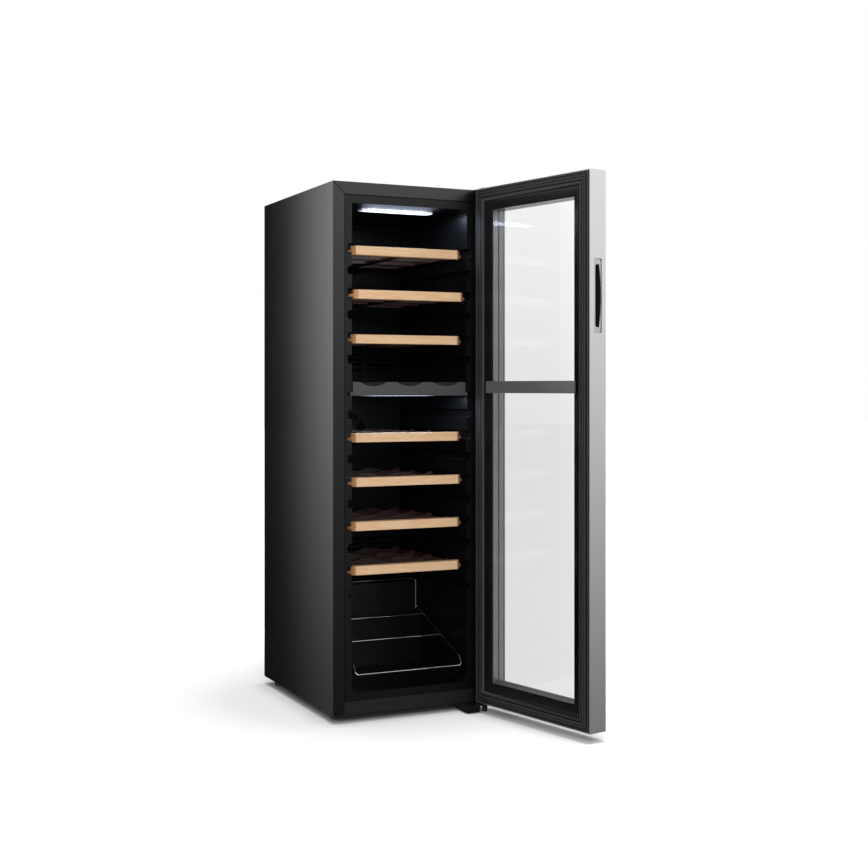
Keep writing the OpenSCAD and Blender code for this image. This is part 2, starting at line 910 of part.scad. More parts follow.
module condenser() {
    color("#8a6a4a")
        in_cabinet()
            translate([cond_x + cond_w, comp_y, pan_top + cond_h / 2])
                rotate([0, 0, 90])
                    fin_pack(cond_l, cond_h, cond_w, cond_fins);
}

module at_condenser_fan() {
    translate([cond_fan_x, comp_y, pan_top + cond_fan / 2])
        rotate([90, 0, 90]) children();
}

module condenser_fan_motor() {
    color("#29292b") in_cabinet() at_condenser_fan() fan_frame(cond_fan, fan_d);
}

module condenser_fan_rotor() {
    color("#3a3a3c") in_cabinet() at_condenser_fan() fan_wheel(cond_fan, fan_d);
}

module drip_tray() {
    half = comp_dia / 2 - 5;
    wall = 2;
    corner_r = 12;
    color("#2f3032")
        in_cabinet()
            translate([comp_x, comp_y, pan_top + comp_h])
                difference() {
                    linear_extrude(tray_h)
                        round_flat([-half, -half], [half, half], corner_r);
                    translate([0, 0, wall])
                        linear_extrude(tray_h)
                            round_flat([wall - half, wall - half], [half - wall, half - wall],
                                       corner_r - wall);
                }
}

module control_box() {
    left = cond_fan_x + fan_d + box_gap;
    right = comp_x - comp_dia / 2 - box_gap;
    front = room_front + 20;
    lid_in = 4;
    lid_t = 3;
    color("#d8d8d4")
        in_cabinet()
            translate([0, 0, pan_top]) {
                block([left, front, 0], [right, front + box_d, box_h]);
                block([left + lid_in, front + lid_in, box_h],
                      [right - lid_in, front + box_d - lid_in, box_h + lid_t]);
            }
}

module cord_gland() {
    rim_r = gland_r + 5;
    outer_rim = 4;
    inner_rim = 3;
    color("#161616")
        in_cabinet()
            translate([gland_x - half_w, room_back, gland_z])
                rotate([90, 0, 0])
                    difference() {
                        union() {
                            translate([0, 0, -sheet_t - outer_rim]) cylinder(r = rim_r, h = outer_rim);
                            translate([0, 0, -sheet_t]) cylinder(r = gland_neck_r, h = sheet_t);
                            cylinder(r = rim_r, h = inner_rim);
                        }
                        translate([0, 0, -far]) cylinder(r = gland_r, h = 2 * far);
                    }
}

// ---------- hinges and feet ----------

// Flat part under the cabinet with an arm round the hinge axis
module bottom_hinge_outline() {
    end_r = bush_dia / 2 + 4;
    arm_left = axis_x - end_r - 8;
    arm_back = 5;
    flat([half_w - plate_w, arm_back - 1], [half_w - 1, plate_back]);
    flat([arm_left, axis_y], [axis_x + end_r, arm_back]);
    flat([arm_left, axis_y - end_r], [axis_x, axis_y + 1]);
    translate([axis_x, axis_y]) circle(end_r);
    flat([half_w - plate_w, -plate_out], [half_w - plate_w + block_w, arm_back]);
}

module bottom_hinge() {
    left = half_w - plate_w;
    block_low = -plate_t - block_h;
    block_back = 30;
    tail_back = 60;
    nut_dia = 11.4;
    nut_low = 1 - foot_gap;
    color("#19191a")
        in_cabinet() {
            difference() {
                union() {
                    translate([0, 0, -plate_t]) linear_extrude(plate_t) bottom_hinge_outline();
                    block([left, -plate_out, block_low], [left + block_w, block_back, -plate_t]);
                    block([left, 0, block_low], [left + block_w / 2, tail_back, -plate_t]);
                }
                translate([half_w - foot_x, foot_front, -far]) cylinder(d = foot_dia + 1, h = far + 1);
            }
            translate([axis_x, axis_y, -plate_t])
                cylinder(d = pin_dia, h = plate_t + door_low_gap + pin_len);
            translate([axis_x, axis_y, nut_low]) cylinder(d = nut_dia, h = -plate_t - nut_low);
        }
}

// Plate on the cabinet's top, set back from the front, with a narrow neck out to the hinge axis
module top_hinge_outline() {
    end_r = bush_dia / 2 + 2;
    flat([half_w - plate_w, top_plate_y], [half_w - 1, plate_back]);
    flat([axis_x - end_r, axis_y], [axis_x + end_r, top_plate_y + 1]);
    translate([axis_x, axis_y]) circle(end_r);
}

module top_hinge() {
    color("#19191a")
        in_cabinet()
            difference() {
                union() {
                    translate([0, 0, body_h]) linear_extrude(top_plate_t) top_hinge_outline();
                    translate([axis_x, axis_y, body_h - door_top_gap - pin_len])
                        cylinder(d = pin_dia, h = door_top_gap + pin_len + top_plate_t);
                }
                top_screw_places()
                    translate([0, 0, -1]) cylinder(r = screw_r + screw_gap, h = top_plate_t + 2);
            }
}

module top_screw_places() {
    screw_in = 12;
    for (x = [half_w - plate_w + screw_in, half_w - 1 - screw_in],
         y = [top_plate_y + screw_in, plate_back - screw_in])
        translate([x, y, body_h]) children();
}

// Pan head with a six-sided socket, standing on z = 0
module screw_head(r, h) {
    socket_share = 0.4;
    difference() {
        cylinder(r = r, h = h);
        translate([0, 0, h / 2]) rotate([0, 0, 30]) cylinder(r = r * socket_share, h = h, $fn = 6);
    }
}

module hinge_screws() {
    head_r = 4;
    flange_head_r = 3.3;
    flange_head_h = 0.6;
    flange_screw_in = 30.5;
    flange_screw_down = 7.4;
    color("#2a2a2c")
        in_cabinet() {
            top_screw_places() {
                cylinder(r = screw_r, h = top_plate_t);
                translate([0, 0, top_plate_t]) screw_head(head_r, head_r / 2);
            }
            translate([half_w - flange_screw_in, 0, body_h - flange_screw_down])
                rotate([90, 0, 0]) screw_head(flange_head_r, flange_head_h);
        }
}

module foot(x, y) {
    groove = 1.2;
    groove_low = 0.35;
    sole_in = 2;
    grip_r = 1.3;
    foot_r = foot_dia / 2;
    color("#141414")
        in_cabinet()
            translate([x, y, -foot_gap]) {
                difference() {
                    rotate_extrude()
                        difference() {
                            flat([0, 0], [foot_r, pad_h]);
                            flat([foot_r - groove, pad_h * groove_low], [foot_dia, pad_h / 2]);
                            polygon([[foot_r - sole_in, -eps], [foot_r + 1, -eps], [foot_r + 1, 3]]);
                        }
                    for (i = [0:foot_grips - 1])
                        rotate([0, 0, (i + 0.5) * 360 / foot_grips])
                            translate([foot_r + grip_r / 4, 0, -1])
                                cylinder(r = grip_r, h = pad_h + 2, $fn = 24);
                }
                cylinder(d = stem_dia, h = pad_h + stem_len);
            }
}

module foot_front_left() { foot(foot_x - half_w, foot_front); }
module foot_front_right() { foot(half_w - foot_x, foot_front); }
module foot_rear_left() { foot(foot_x - half_w, foot_back); }
module foot_rear_right() { foot(half_w - foot_x, foot_back); }

// ---------- door ----------

module handle_outline(g) {
    round_flat([-handle_s - handle_w / 2 - g, handle_z - handle_len / 2 - g],
               [-handle_s + handle_w / 2 + g, handle_z + handle_len / 2 + g],
               handle_r);
}

// D-shaped finger slot: straight on the inner side, bowed on the outer side
module grip_outline() {
    straight = -handle_s + handle_w / 2 - 5.2;
    bow = grip_w - grip_end_w;
    half = grip_len / 2;
    bow_r = (half * half + bow * bow) / (2 * bow);
    translate([straight, handle_z])
        intersection() {
            translate([bow_r - grip_w, 0]) circle(bow_r, $fn = 256);
            round_flat([-grip_w * 2, -half], [0, half], grip_end_w / 2 - 0.5);
        }
}

module door_frame() {
    color("#c9cacc")
        on_door()
            difference() {
                block([-half_w, -door_t, 0], [half_w, 0, door_h]);
                block([frame_t - half_w, -frame_depth, frame_t],
                      [half_w - frame_t, 1, door_h - frame_t]);
                block([frame_w - half_w, -door_t - 1, frame_w],
                      [half_w - frame_w, 1, door_h - frame_w]);
                along_x(-half_w - 1, frame_t - half_w + 1) handle_outline(0);
                bush_holes();
                panel_room(move_gap);
            }
}

module bush_holes() {
    translate([axis_x, door_gap + axis_y, -1]) cylinder(d = bush_dia, h = pin_len + 2);
    translate([axis_x, door_gap + axis_y, door_h - pin_len - 1]) cylinder(d = bush_dia, h = pin_len + 2);
}

module inner_frame_section() {
    polygon([[frame_t, 0], [frame_w - bevel_w, 0], [frame_w, -bevel_d], [frame_w, -lip_s],
             [glass_in, -lip_s], [glass_in, -frame_depth], [frame_t, -frame_depth]]);
}

module door_inner_frame() {
    slot_x = seal_in + (seal_base - seal_slot) / 2;
    color("#232325")
        on_door()
            difference() {
                mitred_ring(body_w, door_h) inner_frame_section();
                mitred_ring(body_w, door_h) flat([slot_x, -seal_slot_d], [slot_x + seal_slot, 1]);
                along_x(-half_w, frame_t + handle_step - half_w) handle_outline(0);
                along_x(-half_w, grip_depth - half_w) grip_outline();
                bush_holes();
                panel_room(move_gap);
            }
}

module glass_pane(s) {
    on_door()
        block([glass_in - half_w, -s - pane_t, glass_in], [half_w - glass_in, -s, door_h - glass_in]);
}

module outer_glass() { color("#9fa4a8", 0.35) glass_pane(outer_s); }
module middle_glass() { color("#9fa4a8", 0.35) glass_pane(middle_s); }
module inner_glass() { color("#9fa4a8", 0.35) glass_pane(lip_s); }

module spacer_ring(s0, s1) {
    mitred_ring(body_w, door_h) flat([frame_w - spacer_w, -s1], [frame_w, -s0]);
}

module glazing_spacers() {
    color("#b4b6b8")
        on_door() {
            spacer_ring(lip_s + pane_t, middle_s);
            spacer_ring(middle_s + pane_t, outer_s);
        }
}

module gasket_section() {
    slot_x = seal_in + (seal_base - seal_slot) / 2;
    tail_in = slot_x + fit_gap;
    tail_out = slot_x + seal_slot - fit_gap;
    foot_h = 3;
    neck_h = 6;
    bulb_out = seal_bulb_in + seal_bulb;
    polygon([[seal_in, 0], [seal_in, foot_h], [seal_bulb_in, neck_h], [seal_bulb_in, seal_h],
             [bulb_out, seal_h], [bulb_out, neck_h], [seal_in + seal_base, foot_h],
             [seal_in + seal_base, 0]]);
    flat([tail_in, fit_gap - seal_slot_d], [tail_out, 1]);
}

module door_gasket() {
    color("#2d2d2f") on_door() mitred_ring(body_w, door_h) gasket_section();
}

module zone_seal_bar() {
    inner = half_w - frame_w;
    half = inner + seal_bar_lap;
    z = seal_bar_z;
    nose = 3;
    color("#1e1e20")
        on_door() {
            along_x(-half, half)
                polygon([[0, z - seal_bar_h / 2], [seal_bar_out - 1, z - seal_bar_h / 2],
                         [seal_bar_out, z - seal_bar_h / 2 + nose],
                         [seal_bar_out, z + seal_bar_h / 2 - nose],
                         [seal_bar_out - 1, z + seal_bar_h / 2], [0, z + seal_bar_h / 2]]);
            block([-inner, -lip_s, z - seal_bar_h / 2], [inner, 1, z + seal_bar_h / 2]);
        }
}

module handle_trim() {
    trim_t = 1.2;
    edge_gap = 0.1;
    trim_x = frame_t + handle_step - half_w;
    color("#c4c5c7")
        on_door()
            difference() {
                along_x(trim_x - trim_t, trim_x) handle_outline(-edge_gap);
                along_x(-half_w, grip_depth - half_w) grip_outline();
            }
}

module bush(low_flange) {
    difference() {
        union() {
            cylinder(d = bush_dia, h = pin_len + 1);
            if (low_flange > 0)
                translate([0, 0, -low_flange]) cylinder(d = boss_dia, h = low_flange);
        }
        translate([0, 0, -low_flange - 1]) cylinder(d = pin_dia + 2 * pin_gap, h = pin_len * 2);
    }
}

module hinge_bushes() {
    color("#e2e0da")
        on_door()
            translate([axis_x, door_gap + axis_y, 0]) {
                bush(door_low_gap - move_gap);
                translate([0, 0, door_h]) mirror([0, 0, 1]) bush(0);
            }
}

module door_stop() {
    stop_in = 42;
    stop_len = 53;
    stop_w = 14;
    stop_front = 3 - door_t;
    hole_in = 11;
    hole_r = 4;
    right = half_w - stop_in;
    left = right - stop_len;
    color("#1a1a1b")
        on_door()
            difference() {
                block([left, stop_front, -stop_h], [right, stop_front + stop_w, 0]);
                for (x = [left + hole_in, right - hole_in])
                    translate([x, stop_front + stop_w / 2, -stop_h - eps])
                        cylinder(r1 = hole_r, r2 = 1, h = hole_r - 1);
            }
}

// Touch panel's block, or its room in the door when grown by g
module panel_room(g) {
    mid = door_h - panel_z;
    block([-panel_w / 2 - g, -door_t - g, mid - panel_h / 2 - g],
          [panel_w / 2 + g, panel_d - door_t + g, mid + panel_h / 2 + g]);
}

module touch_panel() {
    color("#0f0f10") on_door() panel_room(0);
}

// ---------- shelves ----------

module at_shelf(i) {
    in_cabinet() translate([0, -shelf_out(i), shelf_level(i)]) children();
}

module shelf_front(i) {
    color("#d9b48c")
        at_shelf(i)
            translate([0, 0, bar_low])
                linear_extrude(bar_h)
                    polygon([[-bar_half, bar_y + bar_d], [-bar_half, bar_y + bar_chamfer],
                             [bar_chamfer - bar_half, bar_y], [bar_half - bar_chamfer, bar_y],
                             [bar_half, bar_y + bar_chamfer], [bar_half, bar_y + bar_d]]);
}

module shelf_runner() {
    nose = runner_outer - bar_half;
    translate([0, 0, runner_low])
        linear_extrude(runner_h)
            polygon([[bar_half, bar_y + bar_chamfer], [runner_outer, bar_y + bar_chamfer + nose],
                     [runner_outer, shelf_end], [runner_inner, shelf_end],
                     [runner_inner, bar_y + bar_d], [bar_half, bar_y + bar_d]]);
}

// Strip that guides the back half of a runner deep in its groove. The front half has none, so
// that it passes the open door's seal when the shelf is pulled out.
module guide_strip() {
    strip_in = runner_outer + guide_gap;
    translate([0, 0, runner_low])
        linear_extrude(runner_h)
            polygon([[strip_in, guide_y], [guide_outer, guide_y + guide_outer - strip_in],
                     [guide_outer, shelf_end], [strip_in, shelf_end]]);
}

module shelf_slat() {
    rotate([90, 0, 0])
        linear_extrude(slat_d, center = true)
            difference() {
                flat([-runner_inner, slat_low], [runner_inner, slat_low + slat_h]);
                scallops(slat_low + slat_h, slat_scallop);
            }
}

module shelf_deck(i) {
    first = bar_y + bar_d + slat_d;
    last = shelf_end - slat_d;
    stringer_w = 18;
    stringer_h = 6;
    color("#4a2c20")
        at_shelf(i) {
            for (side = [0, 1])
                mirror([side, 0, 0]) {
                    shelf_runner();
                    guide_strip();
                }
            for (k = [0:slat_count - 1])
                translate([0, first + (last - first) * k / (slat_count - 1), 0]) shelf_slat();
            block([-stringer_w / 2, bar_y + bar_d, slat_low],
                  [stringer_w / 2, shelf_end - slat_d, slat_low + stringer_h]);
        }
}

module shelf_1_front() { shelf_front(1); }
module shelf_2_front() { shelf_front(2); }
module shelf_3_front() { shelf_front(3); }
module shelf_4_front() { shelf_front(4); }
module shelf_5_front() { shelf_front(5); }
module shelf_6_front() { shelf_front(6); }
module shelf_7_front() { shelf_front(7); }
module shelf_1_deck() { shelf_deck(1); }
module shelf_2_deck() { shelf_deck(2); }
module shelf_3_deck() { shelf_deck(3); }
module shelf_4_deck() { shelf_deck(4); }
module shelf_5_deck() { shelf_deck(5); }
module shelf_6_deck() { shelf_deck(6); }
module shelf_7_deck() { shelf_deck(7); }

// ---------- wire rack ----------

// Two hooks over the step carry a sloping frame with a lip at its front; the wires are welded
module wire_rack() {
    half = cavity_half - rack_gap;
    bend = 5;
    weld = wire_d * 0.8;
    hook_x = half - weld;
    face_y = hump_y - wire_d / 2 - move_gap;
    ledge_z = hump_h + wire_d / 2 + move_gap;
    post_y = rack_y + rack_lean;
    post_z = rack_z + rack_post;
    rise = (rack_back_z - post_z) / (face_y - post_y);
    hook_y = hump_y + 26;
    cross_shares = [0.43, 0.85];
    side_wire = [[half - bend, rack_y, rack_z], [half, rack_y + 1, rack_z + bend],
                 [half, post_y, post_z], [half, face_y, rack_back_z]];
    hook = [[hook_x, face_y, rack_back_z - bend], [hook_x, face_y, ledge_z],
            [hook_x, hook_y, ledge_z]];
    color("#c8cacc")
        in_cabinet() {
            for (side = [0, 1])
                mirror([side, 0, 0]) {
                    wire(side_wire, wire_d);
                    wire(hook, wire_d);
                }
            straight_wire([bend - half, rack_y, rack_z], [half - bend, rack_y, rack_z],
                          wire_d * wire_thin);
            straight_wire([-hook_x, hook_y, ledge_z], [hook_x, hook_y, ledge_z],
                          wire_d * wire_thin);
            for (share = cross_shares)
                let (y = post_y + share * (face_y - post_y), z = post_z + rise * (y - post_y) - weld)
                    straight_wire([-half, y, z], [half, y, z], wire_d);
        }
}

outer_shell();
bottom_rail();
back_panel();
machine_cover();
base_pan();
inner_liner();
insulation_foam();
zone_divider();
upper_light();
lower_light();
upper_duct_cover();
lower_duct_cover();
upper_evaporator();
lower_evaporator();
upper_fan_motor();
lower_fan_motor();
upper_fan_rotor();
lower_fan_rotor();
compressor();
condenser();
condenser_fan_motor();
condenser_fan_rotor();
drip_tray();
control_box();
cord_gland();
top_hinge();
bottom_hinge();
hinge_screws();
foot_front_left();
foot_front_right();
foot_rear_left();
foot_rear_right();
door_frame();
door_inner_frame();
outer_glass();
middle_glass();
inner_glass();
glazing_spacers();
door_gasket();
zone_seal_bar();
handle_trim();
hinge_bushes();
door_stop();
touch_panel();
shelf_1_front();
shelf_2_front();
shelf_3_front();
shelf_4_front();
shelf_5_front();
shelf_6_front();
shelf_7_front();
shelf_1_deck();
shelf_2_deck();
shelf_3_deck();
shelf_4_deck();
shelf_5_deck();
shelf_6_deck();
shelf_7_deck();
wire_rack();
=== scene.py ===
"""Looks of a free-standing two-zone wine cooler, built around its fixed frame.

Every length is in metres, in the row frame: +Z up, the front faces -Y, and the origin is on the floor,
midway between the four feet. The door stands open.
"""

import json
import logging
import math
from dataclasses import dataclass, field
from enum import Enum
from typing import Any, Callable, Optional, Sequence

import bmesh
import bpy
from mathutils import Matrix, Vector

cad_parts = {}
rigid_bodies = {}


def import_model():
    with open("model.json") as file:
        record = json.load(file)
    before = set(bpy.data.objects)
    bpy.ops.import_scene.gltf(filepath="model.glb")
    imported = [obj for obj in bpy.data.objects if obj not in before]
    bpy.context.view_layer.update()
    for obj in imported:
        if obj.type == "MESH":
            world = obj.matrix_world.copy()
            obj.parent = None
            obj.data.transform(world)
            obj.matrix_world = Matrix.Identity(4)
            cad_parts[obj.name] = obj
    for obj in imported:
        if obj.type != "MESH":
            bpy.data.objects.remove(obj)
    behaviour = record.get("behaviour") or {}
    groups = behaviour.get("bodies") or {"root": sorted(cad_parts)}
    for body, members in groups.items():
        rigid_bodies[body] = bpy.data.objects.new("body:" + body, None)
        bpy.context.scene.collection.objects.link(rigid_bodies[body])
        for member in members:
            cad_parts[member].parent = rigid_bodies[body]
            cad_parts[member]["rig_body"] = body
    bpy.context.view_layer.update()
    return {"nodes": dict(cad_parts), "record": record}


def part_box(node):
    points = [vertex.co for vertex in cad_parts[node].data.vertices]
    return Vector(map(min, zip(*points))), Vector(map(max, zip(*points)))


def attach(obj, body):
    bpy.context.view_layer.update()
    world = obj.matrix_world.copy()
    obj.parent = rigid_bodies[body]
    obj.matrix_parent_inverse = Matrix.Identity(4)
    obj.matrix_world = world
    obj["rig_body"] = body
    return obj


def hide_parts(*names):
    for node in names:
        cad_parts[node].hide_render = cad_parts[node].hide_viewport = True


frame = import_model()

MM = 0.001
# Two places closer than this are the same place.
TOUCH = 0.01 * MM
# A face lies in the plane of a front or a flange if it is within this of it.
SKIN = 0.1 * MM
# A face whose normal has this much of an axis in it looks straight along that axis.
SQUARE_ON = 0.99
# Length of one wave of Blender's wave texture at a scale of 1.
UNIT_WAVE = 0.314
log = logging.getLogger("wine_cooler")

# Sockets of the Mix node that go by number: two colours and their mix, and two numbers.
MIX_LOW, MIX_HIGH, MIXED = 6, 7, 2
LOW, HIGH = 2, 3

Settings = dict[str | int, Any]
Links = dict[str | int, Any]


# ---------------------------------------------------------------------------------------------
# Colour and node helpers
# ---------------------------------------------------------------------------------------------


def linear(hex_colour: str, alpha: float = 1.0) -> tuple[float, float, float, float]:
    """Turn an sRGB hex colour into linear light.

    Args:
        hex_colour: Colour such as "#1c1c1d".
        alpha: Fourth value of the result.

    Returns:
        Red, green and blue in linear light, and alpha.
    """
    values = [int(hex_colour[i : i + 2], 16) / 255 for i in (1, 3, 5)]
    light = [v / 12.92 if v <= 0.04045 else ((v + 0.055) / 1.055) ** 2.4 for v in values]
    return (light[0], light[1], light[2], alpha)


def add_node(tree: bpy.types.NodeTree, kind: str, settings: Settings, links: Links) -> bpy.types.Node:
    """Add a node with its settings and its incoming links.

    Args:
        tree: Node tree that takes the node.
        kind: Blender's type name of the node.
        settings: Values by name. A name that is an input socket sets that socket, any other name is
            an attribute of the node.
        links: Output sockets by the name or number of the input they feed.

    Returns:
        The new node.
    """
    node = tree.nodes.new(kind)
    for name, value in settings.items():
        if isinstance(name, str) and hasattr(node, name) and name not in node.inputs:
            setattr(node, name, value)
        else:
            node.inputs[name].default_value = value
    for name, source in links.items():
        tree.links.new(source, node.inputs[name])
    return node


def fill_ramp(node: bpy.types.Node, stops: Sequence[tuple[float, str]]) -> None:
    """Give a colour ramp its stops.

    Args:
        node: Color Ramp node.
        stops: Positions from 0 to 1 with their sRGB hex colours.
    """
    elements = node.color_ramp.elements
    while len(elements) < len(stops):
        elements.new(0.5)
    for element, (position, colour) in zip(elements, stops):
        element.position = position
        element.color = linear(colour)


class Grain(Enum):
    """Direction that a streaked pattern runs in."""

    ALONG_X = (0.02, 1.0, 1.0)
    ALONG_Y = (1.0, 0.02, 1.0)
    ALONG_Z = (1.0, 1.0, 0.02)


@dataclass(frozen=True)
class Finish:
    """Base of all finishes: a named material with one Principled shader.

    Attributes:
        name: Name of the material.
        colour: sRGB hex base colour.
        roughness: Roughness of the shader.
        metallic: 1 for bare metal, 0 for the rest.
        ior: Index of refraction.
        spread: How far a pattern moves the roughness to either side.
        bump: Strength of the relief.
    """

    name: str
    colour: str
    roughness: float
    metallic: float = 0.0
    ior: float = 1.5
    spread: float = 0.0
    bump: float = 0.0

    def pattern(self, tree: bpy.types.NodeTree, shader: bpy.types.Node) -> None:
        """Add the finish's own nodes in front of the shader."""

    def material(self) -> bpy.types.Material:
        """Build the material, or return the one that already exists.

        Returns:
            The finished material.
        """
        found = bpy.data.materials.get(self.name)
        if found is not None:
            return found
        made = bpy.data.materials.new(self.name)
        made.use_nodes = True
        tree = made.node_tree
        shader = tree.nodes["Principled BSDF"]
        shader.inputs["Base Color"].default_value = linear(self.colour)
        shader.inputs["Roughness"].default_value = self.roughness
        shader.inputs["Metallic"].default_value = self.metallic
        shader.inputs["IOR"].default_value = self.ior
        made.diffuse_color = linear(self.colour)
        self.pattern(tree, shader)
        return made

    def wear(self, tree: bpy.types.NodeTree, shader: bpy.types.Node, gloss: bpy.types.NodeSocket,
             height: Optional[bpy.types.NodeSocket] = None, depth: float = 0.0) -> None:
        """Let patterns from 0 to 1 change the finish's roughness and give it relief.

        Args:
            tree: Node tree of the material.
            shader: The material's shader.
            gloss: Pattern that the roughness follows.
            height: Pattern of the relief, if there is any.
            depth: Depth of the relief in metres.
        """
        satin = add_node(tree, "ShaderNodeMapRange", {"To Min": self.roughness - self.spread,
                                                      "To Max": self.roughness + self.spread},
                         {"Value": gloss})
        tree.links.new(satin.outputs["Result"], shader.inputs["Roughness"])
        if height is not None:
            relief = add_node(tree, "ShaderNodeBump", {"Strength": self.bump, "Distance": depth},
                              {"Height": height})
            tree.links.new(relief.outputs["Normal"], shader.inputs["Normal"])


def object_coordinates(tree: bpy.types.NodeTree, scale: Sequence[float]) -> bpy.types.NodeSocket:
    """Object coordinates multiplied axis by axis.

    Args:
        tree: Node tree of the material.
        scale: Factor for X, Y and Z.

    Returns:
        The scaled coordinates' output socket.
    """
    where = add_node(tree, "ShaderNodeTexCoord", {}, {})
    mapped = add_node(tree, "ShaderNodeMapping", {"Scale": scale}, {"Vector": where.outputs["Object"]})
    return mapped.outputs["Vector"]


# ---------------------------------------------------------------------------------------------
# Finishes
# ---------------------------------------------------------------------------------------------


@dataclass(frozen=True)
class PowderCoat(Finish):
    """Powder-coated sheet steel: an even film whose faint orange peel softens reflections.

    Attributes:
        peel: Width of one dimple of the orange peel.
        peel_depth: Depth of the dimples.
        cloud: Distance over which the film's gloss changes.
    """

    spread: float = 0.03
    bump: float = 0.12
    peel: float = 1.6 * MM
    peel_depth: float = 0.05 * MM
    cloud: float = 250 * MM

    def pattern(self, tree: bpy.types.NodeTree, shader: bpy.types.Node) -> None:
        """Add the orange peel and a slow change of gloss."""
        scale = 1 / self.peel
        peel = add_node(tree, "ShaderNodeTexNoise", {"Scale": 1.0, "Detail": 2.0},
                        {"Vector": object_coordinates(tree, (scale, scale, scale))})
        cloud = add_node(tree, "ShaderNodeTexNoise", {"Scale": 1 / self.cloud, "Detail": 1.0},
                         {"Vector": object_coordinates(tree, (1, 1, 1))})
        self.wear(tree, shader, cloud.outputs["Fac"], peel.outputs["Fac"], self.peel_depth)


@dataclass(frozen=True)
class Moulding(Finish):
    """Moulded or vacuum-formed plastic: a fine spark-eroded grain that turns gloss to satin.

    Attributes:
        grit: Width of the mould's grain. A real one is about 0.1 mm; it is drawn coarser so that it shows.
        depth: Depth of the grain.
        sheen: Strength of the reflection, where 0.5 is that of plain plastic.
    """

    spread: float = 0.05
    bump: float = 0.25
    grit: float = 0.5 * MM
    depth: float = 0.02 * MM
    sheen: float = 0.5

    def pattern(self, tree: bpy.types.NodeTree, shader: bpy.types.Node) -> None:
        """Add the mould's grain."""
        shader.inputs["Specular IOR Level"].default_value = self.sheen
        scale = 1 / self.grit
        grain = add_node(tree, "ShaderNodeTexNoise", {"Scale": 1.0, "Detail": 3.0},
                         {"Vector": object_coordinates(tree, (scale, scale, scale))})
        self.wear(tree, shader, grain.outputs["Fac"], grain.outputs["Fac"], self.depth)


@dataclass(frozen=True)
class BrushedMetal(Finish):
    """Brushed sheet metal: long fine scratches that stretch reflections across the grain.

    Attributes:
        grain: Direction of the scratches.
        line: Width of a scratch. A real one is about 0.05 mm; it is drawn coarser so that it shows.
        scratch: Depth of a scratch.
        light: Lighter tone of the streaks.
    """

    spread: float = 0.06
    bump: float = 0.08
    grain: Grain = Grain.ALONG_Z
    line: float = 0.35 * MM
    scratch: float = 0.03 * MM
    light: str = "#ffffff"

    def pattern(self, tree: bpy.types.NodeTree, shader: bpy.types.Node) -> None:
        """Add streaks in colour, gloss and height."""
        scale = [s / self.line for s in self.grain.value]
        streak = add_node(tree, "ShaderNodeTexNoise", {"Scale": 1.0, "Detail": 4.0, "Roughness": 0.7},
                          {"Vector": object_coordinates(tree, scale)})
        tone = add_node(tree, "ShaderNodeMix", {"data_type": "RGBA", MIX_LOW: linear(self.colour),
                                                MIX_HIGH: linear(self.light)},
                        {"Factor": streak.outputs["Fac"]})
        tree.links.new(tone.outputs[MIXED], shader.inputs["Base Color"])
        self.wear(tree, shader, streak.outputs["Fac"], streak.outputs["Fac"], self.scratch)


@dataclass(frozen=True)
class PlainMetal(Finish):
    """Plated or polished metal with only faint clouding.

    Attributes:
        cloud: Width of a cloud in the gloss.
    """

    spread: float = 0.04
    cloud: float = 8 * MM

    def pattern(self, tree: bpy.types.NodeTree, shader: bpy.types.Node) -> None:
        """Add faint clouds in the gloss."""
        cloud = add_node(tree, "ShaderNodeTexNoise", {"Scale": 1 / self.cloud, "Detail": 2.0},
                         {"Vector": object_coordinates(tree, (1, 1, 1))})
        self.wear(tree, shader, cloud.outputs["Fac"])


